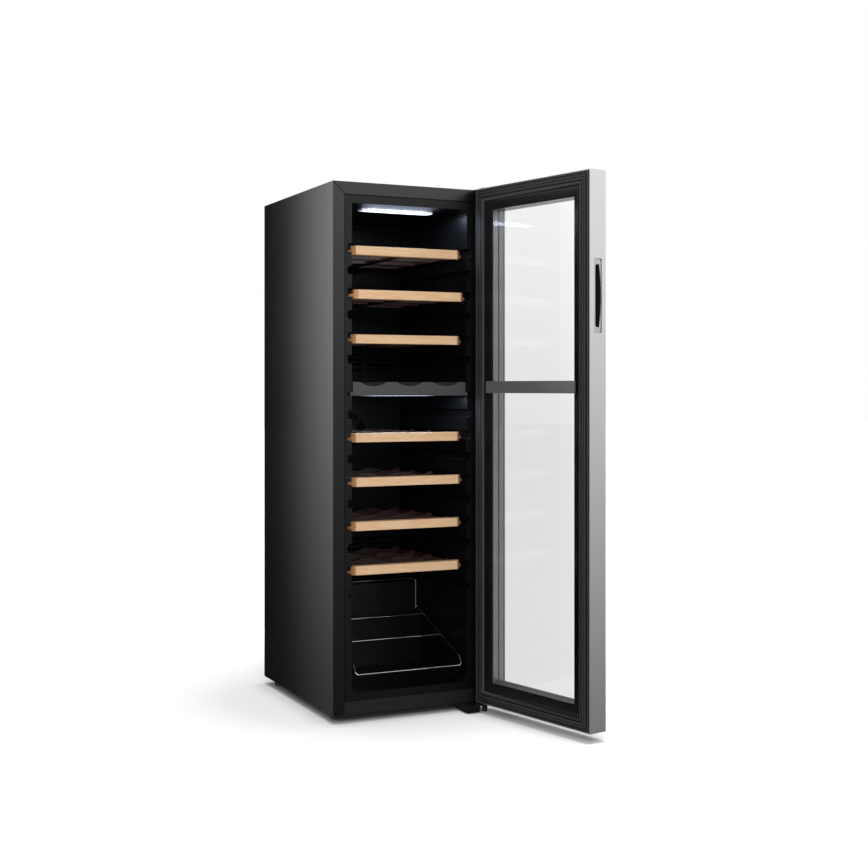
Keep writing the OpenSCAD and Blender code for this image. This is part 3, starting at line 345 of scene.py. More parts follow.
@dataclass(frozen=True)
class PlanedWood(Finish):
    """Planed timber: lengthwise figure, short dark flecks, and darker end grain.

    Attributes:
        dark: Darker tone of the figure.
        fleck: Colour of the flecks.
        end: Colour that end grain takes.
        grain: Direction of the figure.
        ring: Spacing of the growth rings.
        spread: Below 0, as the hard rings stand up and are the glossier ones.
        stretch: Width of the figure across the grain, as a share of its length.
        figure: Values of the figure where its dark tone ends and its pale tone starts.
        fleck_width: Width of a fleck.
        fleck_stretch: Width of a fleck as a share of its length.
        fleck_share: How much of its own colour a fleck has at its middle.
        fleck_rim: Where a fleck starts to fade and where it is gone, as shares of a cell of the pattern.
        end_turn: How far a face looks along the grain where end grain starts to show, and where it is full.
        relief: Depth that the planer leaves between hard and soft rings.
    """

    spread: float = -0.06
    bump: float = 0.15
    dark: str = "#c69a70"
    fleck: str = "#9a6b45"
    end: str = "#a8764f"
    grain: Grain = Grain.ALONG_X
    ring: float = 3.2 * MM
    stretch: float = 0.06
    fleck_width: float = 0.5 * MM
    fleck_stretch: float = 0.16
    fleck_share: float = 0.55
    figure: tuple[float, float] = (0.32, 0.62)
    fleck_rim: tuple[float, float] = (0.10, 0.22)
    end_turn: tuple[float, float] = (0.35, 0.75)
    relief: float = 0.08 * MM

    def pattern(self, tree: bpy.types.NodeTree, shader: bpy.types.Node) -> None:
        """Add the figure, the flecks and the end grain."""
        stretch = [self.stretch if s < 1 else 1.0 for s in self.grain.value]
        figure = add_node(tree, "ShaderNodeTexNoise", {"Scale": 1.0, "Detail": 6.0, "Roughness": 0.62,
                                                       "Distortion": 0.4},
                          {"Vector": object_coordinates(tree, [s / self.ring for s in stretch])})
        tone = add_node(tree, "ShaderNodeValToRGB", {}, {"Fac": figure.outputs["Fac"]})
        fill_ramp(tone, [(self.figure[0], self.dark), (self.figure[1], self.colour)])
        dash = [self.fleck_stretch if s < 1 else 1.0 for s in self.grain.value]
        cells = add_node(tree, "ShaderNodeTexVoronoi", {"Scale": 1.0, "Randomness": 1.0},
                         {"Vector": object_coordinates(tree, [s / (4 * self.fleck_width) for s in dash])})
        marks = add_node(tree, "ShaderNodeMapRange", {"From Min": self.fleck_rim[0],
                                                      "From Max": self.fleck_rim[1],
                                                      "To Min": self.fleck_share, "To Max": 0.0},
                         {"Value": cells.outputs["Distance"]})
        flecked = add_node(tree, "ShaderNodeMix", {"data_type": "RGBA", MIX_HIGH: linear(self.fleck)},
                           {"Factor": marks.outputs["Result"], MIX_LOW: tone.outputs["Color"]})
        surface = add_node(tree, "ShaderNodeNewGeometry", {}, {})
        parts = add_node(tree, "ShaderNodeSeparateXYZ", {}, {"Vector": surface.outputs["True Normal"]})
        across = 0 if self.grain is Grain.ALONG_X else 1
        facing = add_node(tree, "ShaderNodeMath", {"operation": "ABSOLUTE"}, {0: parts.outputs[across]})
        ends = add_node(tree, "ShaderNodeMapRange", {"From Min": self.end_turn[0],
                                                     "From Max": self.end_turn[1]},
                        {"Value": facing.outputs[0]})
        ended = add_node(tree, "ShaderNodeMix", {"data_type": "RGBA", MIX_HIGH: linear(self.end)},
                         {"Factor": ends.outputs["Result"], MIX_LOW: flecked.outputs[MIXED]})
        tree.links.new(ended.outputs[MIXED], shader.inputs["Base Color"])
        self.wear(tree, shader, figure.outputs["Fac"], figure.outputs["Fac"], self.relief)


@dataclass(frozen=True)
class FloatGlass(Finish):
    """Coated float glass: clear, flat and polished, a little grey in its thickness.

    The panes' coating takes most of the reflection away. An index of refraction of 1.18 stands for that, as
    plain glass at 1.5 would mirror the room in all six faces of the glazing.

    Attributes:
        mirror: Share of plain glass's reflection that the coating leaves, where 0.5 is all of it.
    """

    mirror: float = 0.0

    def pattern(self, tree: bpy.types.NodeTree, shader: bpy.types.Node) -> None:
        """Let light through, and let the coated faces hardly mirror anything."""
        shader.inputs["Transmission Weight"].default_value = 1.0
        shader.inputs["Specular IOR Level"].default_value = self.mirror


@dataclass(frozen=True)
class LampLens(Finish):
    """Milky diffuser lit from behind by a row of diodes, brighter over each one, dim past the last ones.

    Attributes:
        pitch: Distance between two diodes.
        power: Emission strength over a diode.
        glow: Colour of the light.
        lit: Half the length of the row of diodes.
        fade: Length over which the light fades at either end.
        trough: Brightness between two diodes, as a share of that over one.
        unlit: Brightness past the last diode, as a share of that over one.
    """

    pitch: float = 12 * MM
    power: float = 3.0
    glow: str = "#dbe9ff"
    lit: float = 84 * MM
    fade: float = 34 * MM
    trough: float = 0.6
    unlit: float = 0.012

    def pattern(self, tree: bpy.types.NodeTree, shader: bpy.types.Node) -> None:
        """Light the lens in soft waves, one crest to a diode, that die away at the ends."""
        along = object_coordinates(tree, (1, 1, 1))
        wave = add_node(tree, "ShaderNodeTexWave", {"bands_direction": "X", "Scale": UNIT_WAVE / self.pitch},
                        {"Vector": along})
        place = add_node(tree, "ShaderNodeSeparateXYZ", {}, {"Vector": along})
        out = add_node(tree, "ShaderNodeMath", {"operation": "ABSOLUTE"}, {0: place.outputs["X"]})
        inner = add_node(tree, "ShaderNodeMapRange", {"interpolation_type": "SMOOTHSTEP", "To Min": 1.0,
                                                      "To Max": self.unlit, "From Min": self.lit - self.fade,
                                                      "From Max": self.lit}, {"Value": out.outputs[0]})
        crest = add_node(tree, "ShaderNodeMapRange", {"To Min": self.power * self.trough,
                                                      "To Max": self.power}, {"Value": wave.outputs["Fac"]})
        light = add_node(tree, "ShaderNodeMath", {"operation": "MULTIPLY"},
                         {0: crest.outputs["Result"], 1: inner.outputs["Result"]})
        shader.inputs["Emission Color"].default_value = linear(self.glow)
        tree.links.new(light.outputs[0], shader.inputs["Emission Strength"])


# Powder-coated steel. The smooth black film shows the room on the sides as one long soft gradient.
BLACK_COAT = PowderCoat("black_powder_coat", "#090909", 0.26)
# Powder-coated steel, sprayed thinner. The rail looks a shade greyer and duller than the sides.
RAIL_COAT = PowderCoat("black_rail_coat", "#131314", 0.42)
# Powder-coated galvanised sheet. The back looks flat charcoal beside the glossier sides.
BACK_COAT = PowderCoat("black_back_coat", "#202021", 0.5)
# Dipped steel tube and wire. The thick dip gives the condenser a soft brown-black look.
CONDENSER_COAT = PowderCoat("dark_dipped_condenser", "#2b221c", 0.45)
# Vacuum-formed polystyrene. The cavity swallows light, and only its formed edges catch a satin line.
LINER = Moulding("vacuum_formed_liner", "#080809", 0.34, sheen=0.3)
# Injection-moulded ABS. The grain spreads light to a plain soft black.
BLACK_ABS = Moulding("black_abs_moulding", "#161617", 0.45)
# Extruded and mitred ABS. Its ridges catch satin lines round the glass.
DOOR_ABS = Moulding("door_frame_moulding", "#1c1c1d", 0.42, grit=0.7 * MM, depth=0.01 * MM)
# ABS left glossy from the die. The bevel by the glass reads as a deep black edge.
GLOSS_BEVEL = Moulding("gloss_black_bevel", "#030303", 0.28, depth=0.0, sheen=0.2)
# Painted shadow: a near-black matt band laid in the joint where the liner meets the steel and along the
# shell's mitre seams, in place of the shade in those narrow gaps. It reads as a thin black line.
PAINTED_JOINT_SHADOW = Moulding("painted_joint_shadow", "#020202", 0.8, depth=0.0, sheen=0.1)
# Injection-moulded grey ABS. The divider's scallops stand out from the black liner.
GREY_ABS = Moulding("grey_divider_moulding", "#3a3a3c", 0.4)
# Co-extruded grey PVC and ABS. The bar shows as an even grey band across the glass.
BAR_ABS = Moulding("grey_bar_moulding", "#4a4a4c", 0.34)
# Moulded acetal. The small bushes look milky white.
WHITE_ABS = Moulding("white_moulding", "#dcdbd6", 0.45)
# Extruded soft PVC. The seal looks rubbery, with hardly a highlight.
SEAL_PVC = Moulding("soft_seal_extrusion", "#1a1a1b", 0.55)
# Poured polyurethane. The foam is matt, pale yellow and coarse.
FOAM = Moulding("poured_foam", "#d8c588", 0.9, grit=2 * MM, depth=0.4 * MM)
# Back-painted glass. The blank touch window mirrors like still water.
GLOSS_PANEL = Moulding("gloss_touch_window", "#0a0a0b", 0.08, depth=0.0)
# Brushed stainless steel. The fine upright lines stretch the light to a silky pale sheen.
BRUSHED_STEEL = BrushedMetal("brushed_steel_upright", "#cfd0d1", 0.34, metallic=1.0, light="#e4e5e6")
# Rolled and folded aluminium. The spacers read as two dull grey bands in the glass edge.
SPACER_ALU = PlainMetal("folded_spacer_aluminium", "#868788", 0.3, metallic=1.0)
# Pressed and anodised aluminium. The handle recess looks smooth and silver, a touch brighter than steel.
TRIM_ALU = PlainMetal("anodised_trim", "#bdbec0", 0.28, metallic=1.0)
# Rolled aluminium. The fin packs look pale and soft.
FIN_ALU = PlainMetal("rolled_fin_aluminium", "#bfc1c3", 0.4, metallic=1.0)
# Chromed steel wire. Each wire shows as a thin bright line with dark flanks.
CHROME = PlainMetal("bright_chrome_wire", "#d0d2d4", 0.1, metallic=1.0)
# Blackened steel. The screw heads glint dimly.
SCREW_STEEL = PlainMetal("blackened_screw_steel", "#58595b", 0.36, metallic=1.0)
# Planed beech. Pale, warm and even, with short flecks, and darker where the end grain drinks the oil.
BEECH = PlanedWood("planed_beech", "#cbae8b", 0.5)
# Planed and stained pine. The decks look dark brown and step back behind the pale bars.
STAINED = PlanedWood("stained_slat_wood", "#43261a", 0.5, dark="#2e170f", fleck="#1e0f0a",
                     end="#2a160e", grain=Grain.ALONG_Y)
# Coated float glass. The inner panes are all but unseen.
CLEAR_GLASS = FloatGlass("clear_float_glass", "#fbfbfb", 0.0, ior=1.18)
# Coated float glass with a grey body. The outer pane dims the white room a little.
TINTED_GLASS = FloatGlass("tinted_float_glass", "#f4f4f4", 0.0, ior=1.18)
# Moulded opal acrylic, lit from behind. The lens glows cold white and dims at both ends.
LENS = LampLens("lit_diffuser", "#e8eef6", 0.4)


# ---------------------------------------------------------------------------------------------
# Mesh helpers
# ---------------------------------------------------------------------------------------------


def merged_copy(node: str, flat_angle: float = 0.6, weld: float = 0.002 * MM) -> bmesh.types.BMesh:
    """Copy a CAD node's mesh, with its vertices merged and its flat faces joined.

    Args:
        node: Name of the CAD node.
        flat_angle: Faces that meet at less than this, in degrees, become one.
        weld: Vertices closer than this become one.

    Returns:
        A new bmesh.
    """
    bm = bmesh.new()
    bm.from_mesh(frame["nodes"][node].data)
    bmesh.ops.remove_doubles(bm, verts=bm.verts, dist=weld)
    bmesh.ops.dissolve_limit(bm, angle_limit=math.radians(flat_angle), verts=bm.verts, edges=bm.edges)
    return bm


def ease(bm: bmesh.types.BMesh, width: float, segments: int = 3, angle: float = 40,
         wanted: Optional[Callable[[bmesh.types.BMEdge], bool]] = None) -> None:
    """Round a mesh's sharp edges.

    Args:
        bm: Mesh to change.
        width: Width of the rounding.
        segments: Faces across it.
        angle: Edges sharper than this, in degrees, are rounded.
        wanted: Says of an edge whether it is rounded; all are if it is left out.
    """
    limit = math.radians(angle)
    edges = [e for e in bm.edges
             if e.is_manifold and e.calc_face_angle(0) > limit and (wanted is None or wanted(e))]
    bmesh.ops.bevel(bm, geom=edges, offset=width, offset_type="OFFSET", affect="EDGES",
                    segments=segments, profile=0.5, material=-1, clamp_overlap=True)


def cut_faces(bm: bmesh.types.BMesh, faces: Sequence[bmesh.types.BMFace], at: Sequence[float],
              across: Sequence[float]) -> None:
    """Cut some of a mesh's faces along a plane.

    Args:
        bm: Mesh to change.
        faces: Faces to cut.
        at: A point of the plane.
        across: Normal of the plane.
    """
    parts = list(dict.fromkeys(part for face in faces for part in (face, *face.edges, *face.verts)))
    bmesh.ops.bisect_plane(bm, geom=parts, plane_co=at, plane_no=across)


def add_piece(name: str, bm: bmesh.types.BMesh, finishes: Sequence[Finish], nodes: Sequence[str],
              smooth: float = 38, body: str = "") -> bpy.types.Object:
    """Make a finished piece of a bmesh. It rides with the first CAD node that it stands for.

    Args:
        name: Name of the piece.
        bm: Its mesh, in the row frame; it is freed.
        finishes: Its finishes, in the order of the faces' material numbers.
        nodes: CAD nodes it stands for.
        smooth: Edges flatter than this, in degrees, are shaded smooth.
        body: Body that it rides on, for a piece that stands for no CAD node.

    Returns:
        The new object.
    """
    for face in bm.faces:
        face.smooth = True
    for edge in bm.edges:
        edge.smooth = edge.is_manifold and edge.calc_face_angle(0) < math.radians(smooth)
    mesh = bpy.data.meshes.new(name)
    bm.to_mesh(mesh)
    bm.free()
    for finish in finishes:
        mesh.materials.append(finish.material())
    piece = bpy.data.objects.new(name, mesh)
    bpy.context.scene.collection.objects.link(piece)
    weighted = piece.modifiers.new("weighted", "WEIGHTED_NORMAL")
    weighted.keep_sharp = True
    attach(piece, body or frame["nodes"][nodes[0]]["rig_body"])
    if nodes:
        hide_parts(*nodes)
    log.info("%s: %d faces for %s", name, len(mesh.polygons), ", ".join(nodes) or "no node")
    return piece


def eased_piece(name: str, node: str, finish: Finish, width: float,
                segments: int = 3) -> bpy.types.Object:
    """Make a piece of a CAD node's own shape with its edges rounded.

    Args:
        name: Name of the piece.
        node: CAD node that it copies and stands for.
        finish: Its finish.
        width: Width of the rounding.
        segments: Faces across it.

    Returns:
        The new object.
    """
    bm = merged_copy(node)
    ease(bm, width, segments)
    return add_piece(name, bm, [finish], [node])


def smooth_piece(name: str, node: str, finish: Finish) -> bpy.types.Object:
    """Make a piece of a CAD node's own shape, its curves shaded smooth and its edges left as cut.

    Args:
        name: Name of the piece.
        node: CAD node that it copies and stands for.
        finish: Its finish.

    Returns:
        The new object.
    """
    return add_piece(name, merged_copy(node), [finish], [node])


def dress(node: str, finish: Finish) -> None:
    """Give a CAD node its finish and leave its shape as it is."""
    mesh = frame["nodes"][node].data
    mesh.materials.clear()
    mesh.materials.append(finish.material())
    log.info("%s: dressed in %s", node, finish.name)


# ---------------------------------------------------------------------------------------------
# Sub-assemblies
# ---------------------------------------------------------------------------------------------


@dataclass
class Cabinet:
    """Steel shell, rail, back, cover and pan of the cabinet.

    Attributes:
        fold: Radius of the shell's folded corners.
        sheet_edge: Rounding of cut sheet edges.
        flange: Width of the front flange.
        seam: Width of the painted shadow line along the mitre seams at its top corners.
    """

    fold: float = 2.0 * MM
    sheet_edge: float = 0.3 * MM
    flange: float = 25 * MM
    seam: float = 1.4 * MM

    def shell(self) -> None:
        """Shell sheet with rolled outer folds, and a painted shadow line along each mitre seam."""
        low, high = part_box("outer_shell")

        def is_fold(edge: bmesh.types.BMEdge) -> bool:
            """Say whether an edge lies where two of the shell's outer faces meet."""
            ends = [vert.co for vert in edge.verts]
            side = all(abs(abs(end.x) - high.x) < TOUCH for end in ends)
            front = all(abs(end.y - low.y) < TOUCH for end in ends)
            top = all(abs(end.z - high.z) < TOUCH for end in ends)
            return side + front + top == 2

        bm = merged_copy("outer_shell")
        ease(bm, self.fold, segments=4, wanted=is_fold)
        inner = Vector((high.x - self.flange, low.y, high.z - self.flange))
        for side in (-1, 1):
            corner = Vector((side * inner.x, inner.y, inner.z))
            across = Vector((side, 0, -1)).normalized()
            for edge in (-1, 1):
                front = [face for face in bm.faces
                         if face.normal.y < -SQUARE_ON and face.calc_center_median().y < low.y + SKIN]
                cut_faces(bm, front, corner + edge * self.seam / 2 * across, across)
        # Faces along each mitre seam take the near-black material: a painted shadow line in the seam.
        for face in bm.faces:
            out, up = abs(face.calc_center_median().x) - inner.x, face.calc_center_median().z - inner.z
            if face.normal.y < -SQUARE_ON and up > 0 and abs(out - up) < self.seam:
                face.material_index = 1
        add_piece("shell_sheet", bm, [BLACK_COAT, PAINTED_JOINT_SHADOW], ["outer_shell"])

    def build(self) -> None:
        """Build the cabinet's outside."""
        self.shell()
        eased_piece("front_rail", "bottom_rail", RAIL_COAT, self.sheet_edge)
        eased_piece("back_sheet", "back_panel", BACK_COAT, self.sheet_edge)
        smooth_piece("louvred_cover", "machine_cover", BACK_COAT)
        smooth_piece("base_pressing", "base_pan", BACK_COAT)
        dress("insulation_foam", FOAM)


@dataclass
class Cavity:
    """Liner, divider, lights and cold air ducts.

    Attributes:
        liner_edge: Rounding of the liner's formed edges.
        joint: Width of the painted shadow line in the joint between the liner and the steel.
        steel_flange: Width of the shell's front flange.
        divider_edge: Rounding of the divider's edges.
        lens_edge: Rounding of the lamp lenses' edges.
    """

    liner_edge: float = 1.1 * MM
    joint: float = 1.6 * MM
    steel_flange: float = 25 * MM
    divider_edge: float = 1.2 * MM
    lens_edge: float = 1.5 * MM

    def liner(self) -> None:
        """Formed liner, with a painted shadow line in the joint where its flange comes out from under the
        steel.
        """
        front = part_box("inner_liner")[0].y + SKIN
        half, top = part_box("bottom_rail")[1][0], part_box("outer_shell")[1][2] - self.steel_flange
        bm = merged_copy("inner_liner")
        ease(bm, self.liner_edge)
        for at, normal in (((half - self.joint, 0, 0), (1, 0, 0)), ((self.joint - half, 0, 0), (1, 0, 0)),
                           ((0, 0, top - self.joint), (0, 0, 1))):
            cut_faces(bm, [face for face in bm.faces if all(v.co.y < front for v in face.verts)], at, normal)
        # Flange faces next to the steel take the near-black material: a painted shadow line in the joint.
        for face in bm.faces:
            middle = face.calc_center_median()
            joined = abs(middle.x) > half - self.joint or middle.z > top - self.joint
            if middle.y < front and joined:
                face.material_index = 1
        add_piece("formed_liner", bm, [LINER, PAINTED_JOINT_SHADOW], ["inner_liner"])

    def build(self) -> None:
        """Build everything fixed inside the cavity."""
        self.liner()
        eased_piece("divider_moulding", "zone_divider", GREY_ABS, self.divider_edge)
        for zone in ("upper", "lower"):
            eased_piece(f"{zone}_lens", f"{zone}_light", LENS, self.lens_edge)
            smooth_piece(f"{zone}_duct_moulding", f"{zone}_duct_cover", LINER)
            smooth_piece(f"{zone}_fin_pack", f"{zone}_evaporator", FIN_ALU)
            smooth_piece(f"{zone}_fan_housing", f"{zone}_fan_motor", BLACK_ABS)
            smooth_piece(f"{zone}_fan_blades", f"{zone}_fan_rotor", BLACK_ABS)


@dataclass
class MachineRoom:
    """Everything in the compartment at the bottom of the back.

    Attributes:
        case_edge: Rounding of the control box's edges.
    """

    case_edge: float = 1.0 * MM

    def build(self) -> None:
        """Build the compartment's parts."""
        smooth_piece("compressor_shell", "compressor", BLACK_COAT)
        smooth_piece("condenser_coil", "condenser", CONDENSER_COAT)
        smooth_piece("condenser_fan_housing", "condenser_fan_motor", BLACK_ABS)
        smooth_piece("condenser_fan_blades", "condenser_fan_rotor", BLACK_ABS)
        eased_piece("control_case", "control_box", WHITE_ABS, self.case_edge)
        smooth_piece("drip_pan", "drip_tray", BLACK_ABS)
        smooth_piece("gland_moulding", "cord_gland", BLACK_ABS)


@dataclass
class Hardware:
    """Hinges, screws and feet.

    Attributes:
        edge: Rounding of the hinge plates' edges.
    """

    edge: float = 0.5 * MM

    def build(self) -> None:
        """Build the hardware."""
        for node in ("top_hinge", "bottom_hinge"):
            eased_piece(node + "_plate", node, BLACK_COAT, self.edge, segments=2)
        smooth_piece("screw_heads", "hinge_screws", SCREW_STEEL)
        for corner in ("front_left", "front_right", "rear_left", "rear_right"):
            smooth_piece(f"levelling_foot_{corner}", f"foot_{corner}", BLACK_ABS)


@dataclass
class Door:
    """Glazed door: steel frame, plastic frame, glass, seal and handle.

    The frame's sections are drawn on the closed door, as pairs of the distance in from the door's edge
    and the height over its inner face.

    Attributes:
        bevel_drop: Depth of the glossy bevel round the glass.
        bevel_slope: How much the bevel looks straight out of the door, where 1 is wholly.
        slot_depth: Depth below which the plastic frame keeps the CAD node's own faces.
        moulding: Section of the plastic frame's face: a lip, the seal's channel, a rounded ridge, a
            shadow groove and the start of the bevel.
        seal: Section of the seal, which lies drawn back in its channel while the door is open.
        crease: Edges of the sections flatter than this, in degrees, are shaded smooth.
        steel_edge: Rounding of the steel frame's edges.
        bar_edge: Rounding of the bar's edges.
        trim_edge: Rounding of the handle's edges.
        bush_edge: Rounding of the bushes' edges.
        shoe_edge: Rounding of the door stop's edges.
        window_edge: Rounding of the touch window's edges.
        hinge: The hinge's entry in the record.
        turn: Angle from the closed door to rest, in radians.
        low: Lowest corner of the closed door.
        high: Highest corner of the closed door.
    """

    bevel_drop: float = 4.4 * MM
    bevel_slope: float = 0.8
    slot_depth: float = 5.01 * MM
    moulding: tuple[tuple[float, float], ...] = (
        (1.2, 0.0), (2.2, 0.1), (2.5, 2.2), (3.2, 3.1), (5.4, 3.1), (6.6, 2.0), (7.0, 0.0), (20.9, 0.0),
        (21.3, 2.5), (22.1, 3.6), (24.6, 3.6), (27.6, 2.2), (28.5, 0.6), (28.8, -2.6), (31.4, -2.6),
        (31.6, -0.5), (32.4, 0.0), (48.0, -4.4))
    seal: tuple[tuple[float, float], ...] = (
        (8.7, 0.3), (8.7, 2.6), (9.3, 3.5), (10.4, 3.7), (12.6, 3.5), (13.2, 2.3), (13.9, 2.3), (14.5, 3.5),
        (18.0, 3.7), (19.0, 3.5), (19.6, 2.6), (19.6, 0.3))
    crease: float = 50
    steel_edge: float = 0.6 * MM
    bar_edge: float = 0.8 * MM
    trim_edge: float = 0.3 * MM
    bush_edge: float = 0.4 * MM
    shoe_edge: float = 0.8 * MM
    window_edge: float = 0.3 * MM
    hinge: dict[str, Any] = field(init=False)
    turn: float = field(init=False)
    low: Vector = field(init=False)
    high: Vector = field(init=False)

    def __post_init__(self) -> None:
        """Read the hinge from the record, and the closed door's outline from its solids."""
        self.hinge = next(j for j in frame["record"]["behaviour"]["joints"] if j["name"] == "door_hinge")
        self.turn = math.radians(-self.hinge["range_deg"][0])
        bm = merged_copy("door_frame")
        self.close(bm)
        self.low = Vector([min(v.co[i] for v in bm.verts) for i in range(3)])
        self.high = Vector([max(v.co[i] for v in bm.verts) for i in range(3)])
        bm.free()

    def swing(self, bm: bmesh.types.BMesh, angle: float) -> None:
        """Turn a mesh about the hinge.

        Args:
            bm: Mesh to turn.
            angle: Angle in radians, counter-clockwise from above.
        """
        bmesh.ops.rotate(bm, cent=self.hinge["pos_m"], matrix=Matrix.Rotation(angle, 3, "Z"), verts=bm.verts)

    def close(self, bm: bmesh.types.BMesh) -> None:
        """Turn a mesh from rest to the closed door."""
        self.swing(bm, -self.turn)

    def open(self, bm: bmesh.types.BMesh) -> None:
        """Turn a mesh from the closed door to rest."""
        self.swing(bm, self.turn)

    def ring(self, bm: bmesh.types.BMesh, section: Sequence[tuple[float, float]], closed: bool) -> None:
        """Run a section round the closed door with mitred corners.

        Args:
            bm: Mesh that takes the ring.
            section: Pairs of distance in from the edge and height over the inner face, in millimetres.
            closed: True if the section's last point joins its first.
        """
        corners = []
        for x, inward, z, upward in ((self.low.x, 1, self.low.z, 1), (self.high.x, -1, self.low.z, 1),
                                     (self.high.x, -1, self.high.z, -1), (self.low.x, 1, self.high.z, -1)):
            points = [bm.verts.new((x + inward * u * MM, self.high.y + s * MM, z + upward * u * MM))
                      for u, s in section]
            pairs = list(zip(points, points[1:])) + ([(points[-1], points[0])] if closed else [])
            corners.append([bm.edges.new(pair) for pair in pairs])
        for one, two in zip(corners, corners[1:] + corners[:1]):
            bmesh.ops.bridge_loops(bm, edges=one + two)

    def frame_moulding(self) -> None:
        """Plastic frame: the CAD node's hidden sides with a formed face and a glossy bevel."""
        bm = merged_copy("door_inner_frame")
        self.close(bm)
        top = self.high.y
        face = [f for f in bm.faces if all(v.co.y > top - self.slot_depth for v in f.verts)]
        bmesh.ops.delete(bm, geom=face, context="FACES")
        self.ring(bm, self.moulding, closed=False)
        bmesh.ops.remove_doubles(bm, verts=bm.verts, dist=TOUCH)
        bmesh.ops.recalc_face_normals(bm, faces=bm.faces)
        for part in bm.faces:
            sunk = part.calc_center_median().y - top
            if -self.bevel_drop - TOUCH < sunk < 0 and self.bevel_slope < part.normal.y < SQUARE_ON:
                part.material_index = 1
        self.open(bm)
        add_piece("door_moulding", bm, [DOOR_ABS, GLOSS_BEVEL], ["door_inner_frame"],
                  smooth=self.crease)

    def seal_extrusion(self) -> None:
        """Magnetic seal, drawn back in its channel."""
        bm = bmesh.new()
        self.ring(bm, self.seal, closed=True)
        bmesh.ops.recalc_face_normals(bm, faces=bm.faces)
        self.open(bm)
        add_piece("seal_extrusion", bm, [SEAL_PVC], ["door_gasket"], smooth=self.crease)

    def build(self) -> None:
        """Build the door."""
        eased_piece("door_steel_frame", "door_frame", BRUSHED_STEEL, self.steel_edge)
        self.frame_moulding()
        self.seal_extrusion()
        eased_piece("seal_bar_extrusion", "zone_seal_bar", BAR_ABS, self.bar_edge)
        dress("outer_glass", TINTED_GLASS)
        for node in ("middle_glass", "inner_glass"):
            dress(node, CLEAR_GLASS)
        for node in ("outer_glass", "middle_glass", "inner_glass"):
            frame["nodes"][node].visible_shadow = False
        smooth_piece("spacer_bars", "glazing_spacers", SPACER_ALU)
        eased_piece("handle_pressing", "handle_trim", TRIM_ALU, self.trim_edge, segments=2)
        eased_piece("bush_mouldings", "hinge_bushes", WHITE_ABS, self.bush_edge, segments=2)
        eased_piece("stop_shoe", "door_stop", BLACK_ABS, self.shoe_edge)
        eased_piece("touch_window", "touch_panel", GLOSS_PANEL, self.window_edge,
                    segments=2)


@dataclass
class Shelves:
    """Seven shelves, each a beech bar on a stained deck.

    Attributes:
        count: Number of shelves.
        bar_edge: Rounding of the bars' edges.
        deck_edge: Rounding of the decks' edges.
        nose: Depth of the runners' bare front ends.
        nose_facing: How much a face has to look forwards to be left bare, where 1 is wholly.
    """

    count: int = 7
    bar_edge: float = 0.9 * MM
    deck_edge: float = 0.6 * MM
    nose: float = 14 * MM
    nose_facing: float = 0.3

    def deck(self, number: int) -> None:
        """Build one deck. Its runners' front ends are left bare, as the stain stops at the bar.

        Args:
            number: Number of the shelf, from the top.
        """
        node = f"shelf_{number}_deck"
        bm = merged_copy(node)
        front = min(vert.co.y for vert in bm.verts)
        for face in bm.faces:
            if face.normal.y < -self.nose_facing and face.calc_center_median().y < front + self.nose:
                face.material_index = 1
        ease(bm, self.deck_edge, 2)
        add_piece(f"slat_deck_{number}", bm, [STAINED, BEECH], [node])

    def build(self) -> None:
        """Build every shelf."""
        for number in range(1, self.count + 1):
            eased_piece(f"beech_bar_{number}", f"shelf_{number}_front", BEECH, self.bar_edge)
            self.deck(number)


@dataclass
class Rack:
    """Chromed wire rack in the bottom of the cavity."""

    def build(self) -> None:
        """Build the rack."""
        smooth_piece("chromed_wires", "wire_rack", CHROME)


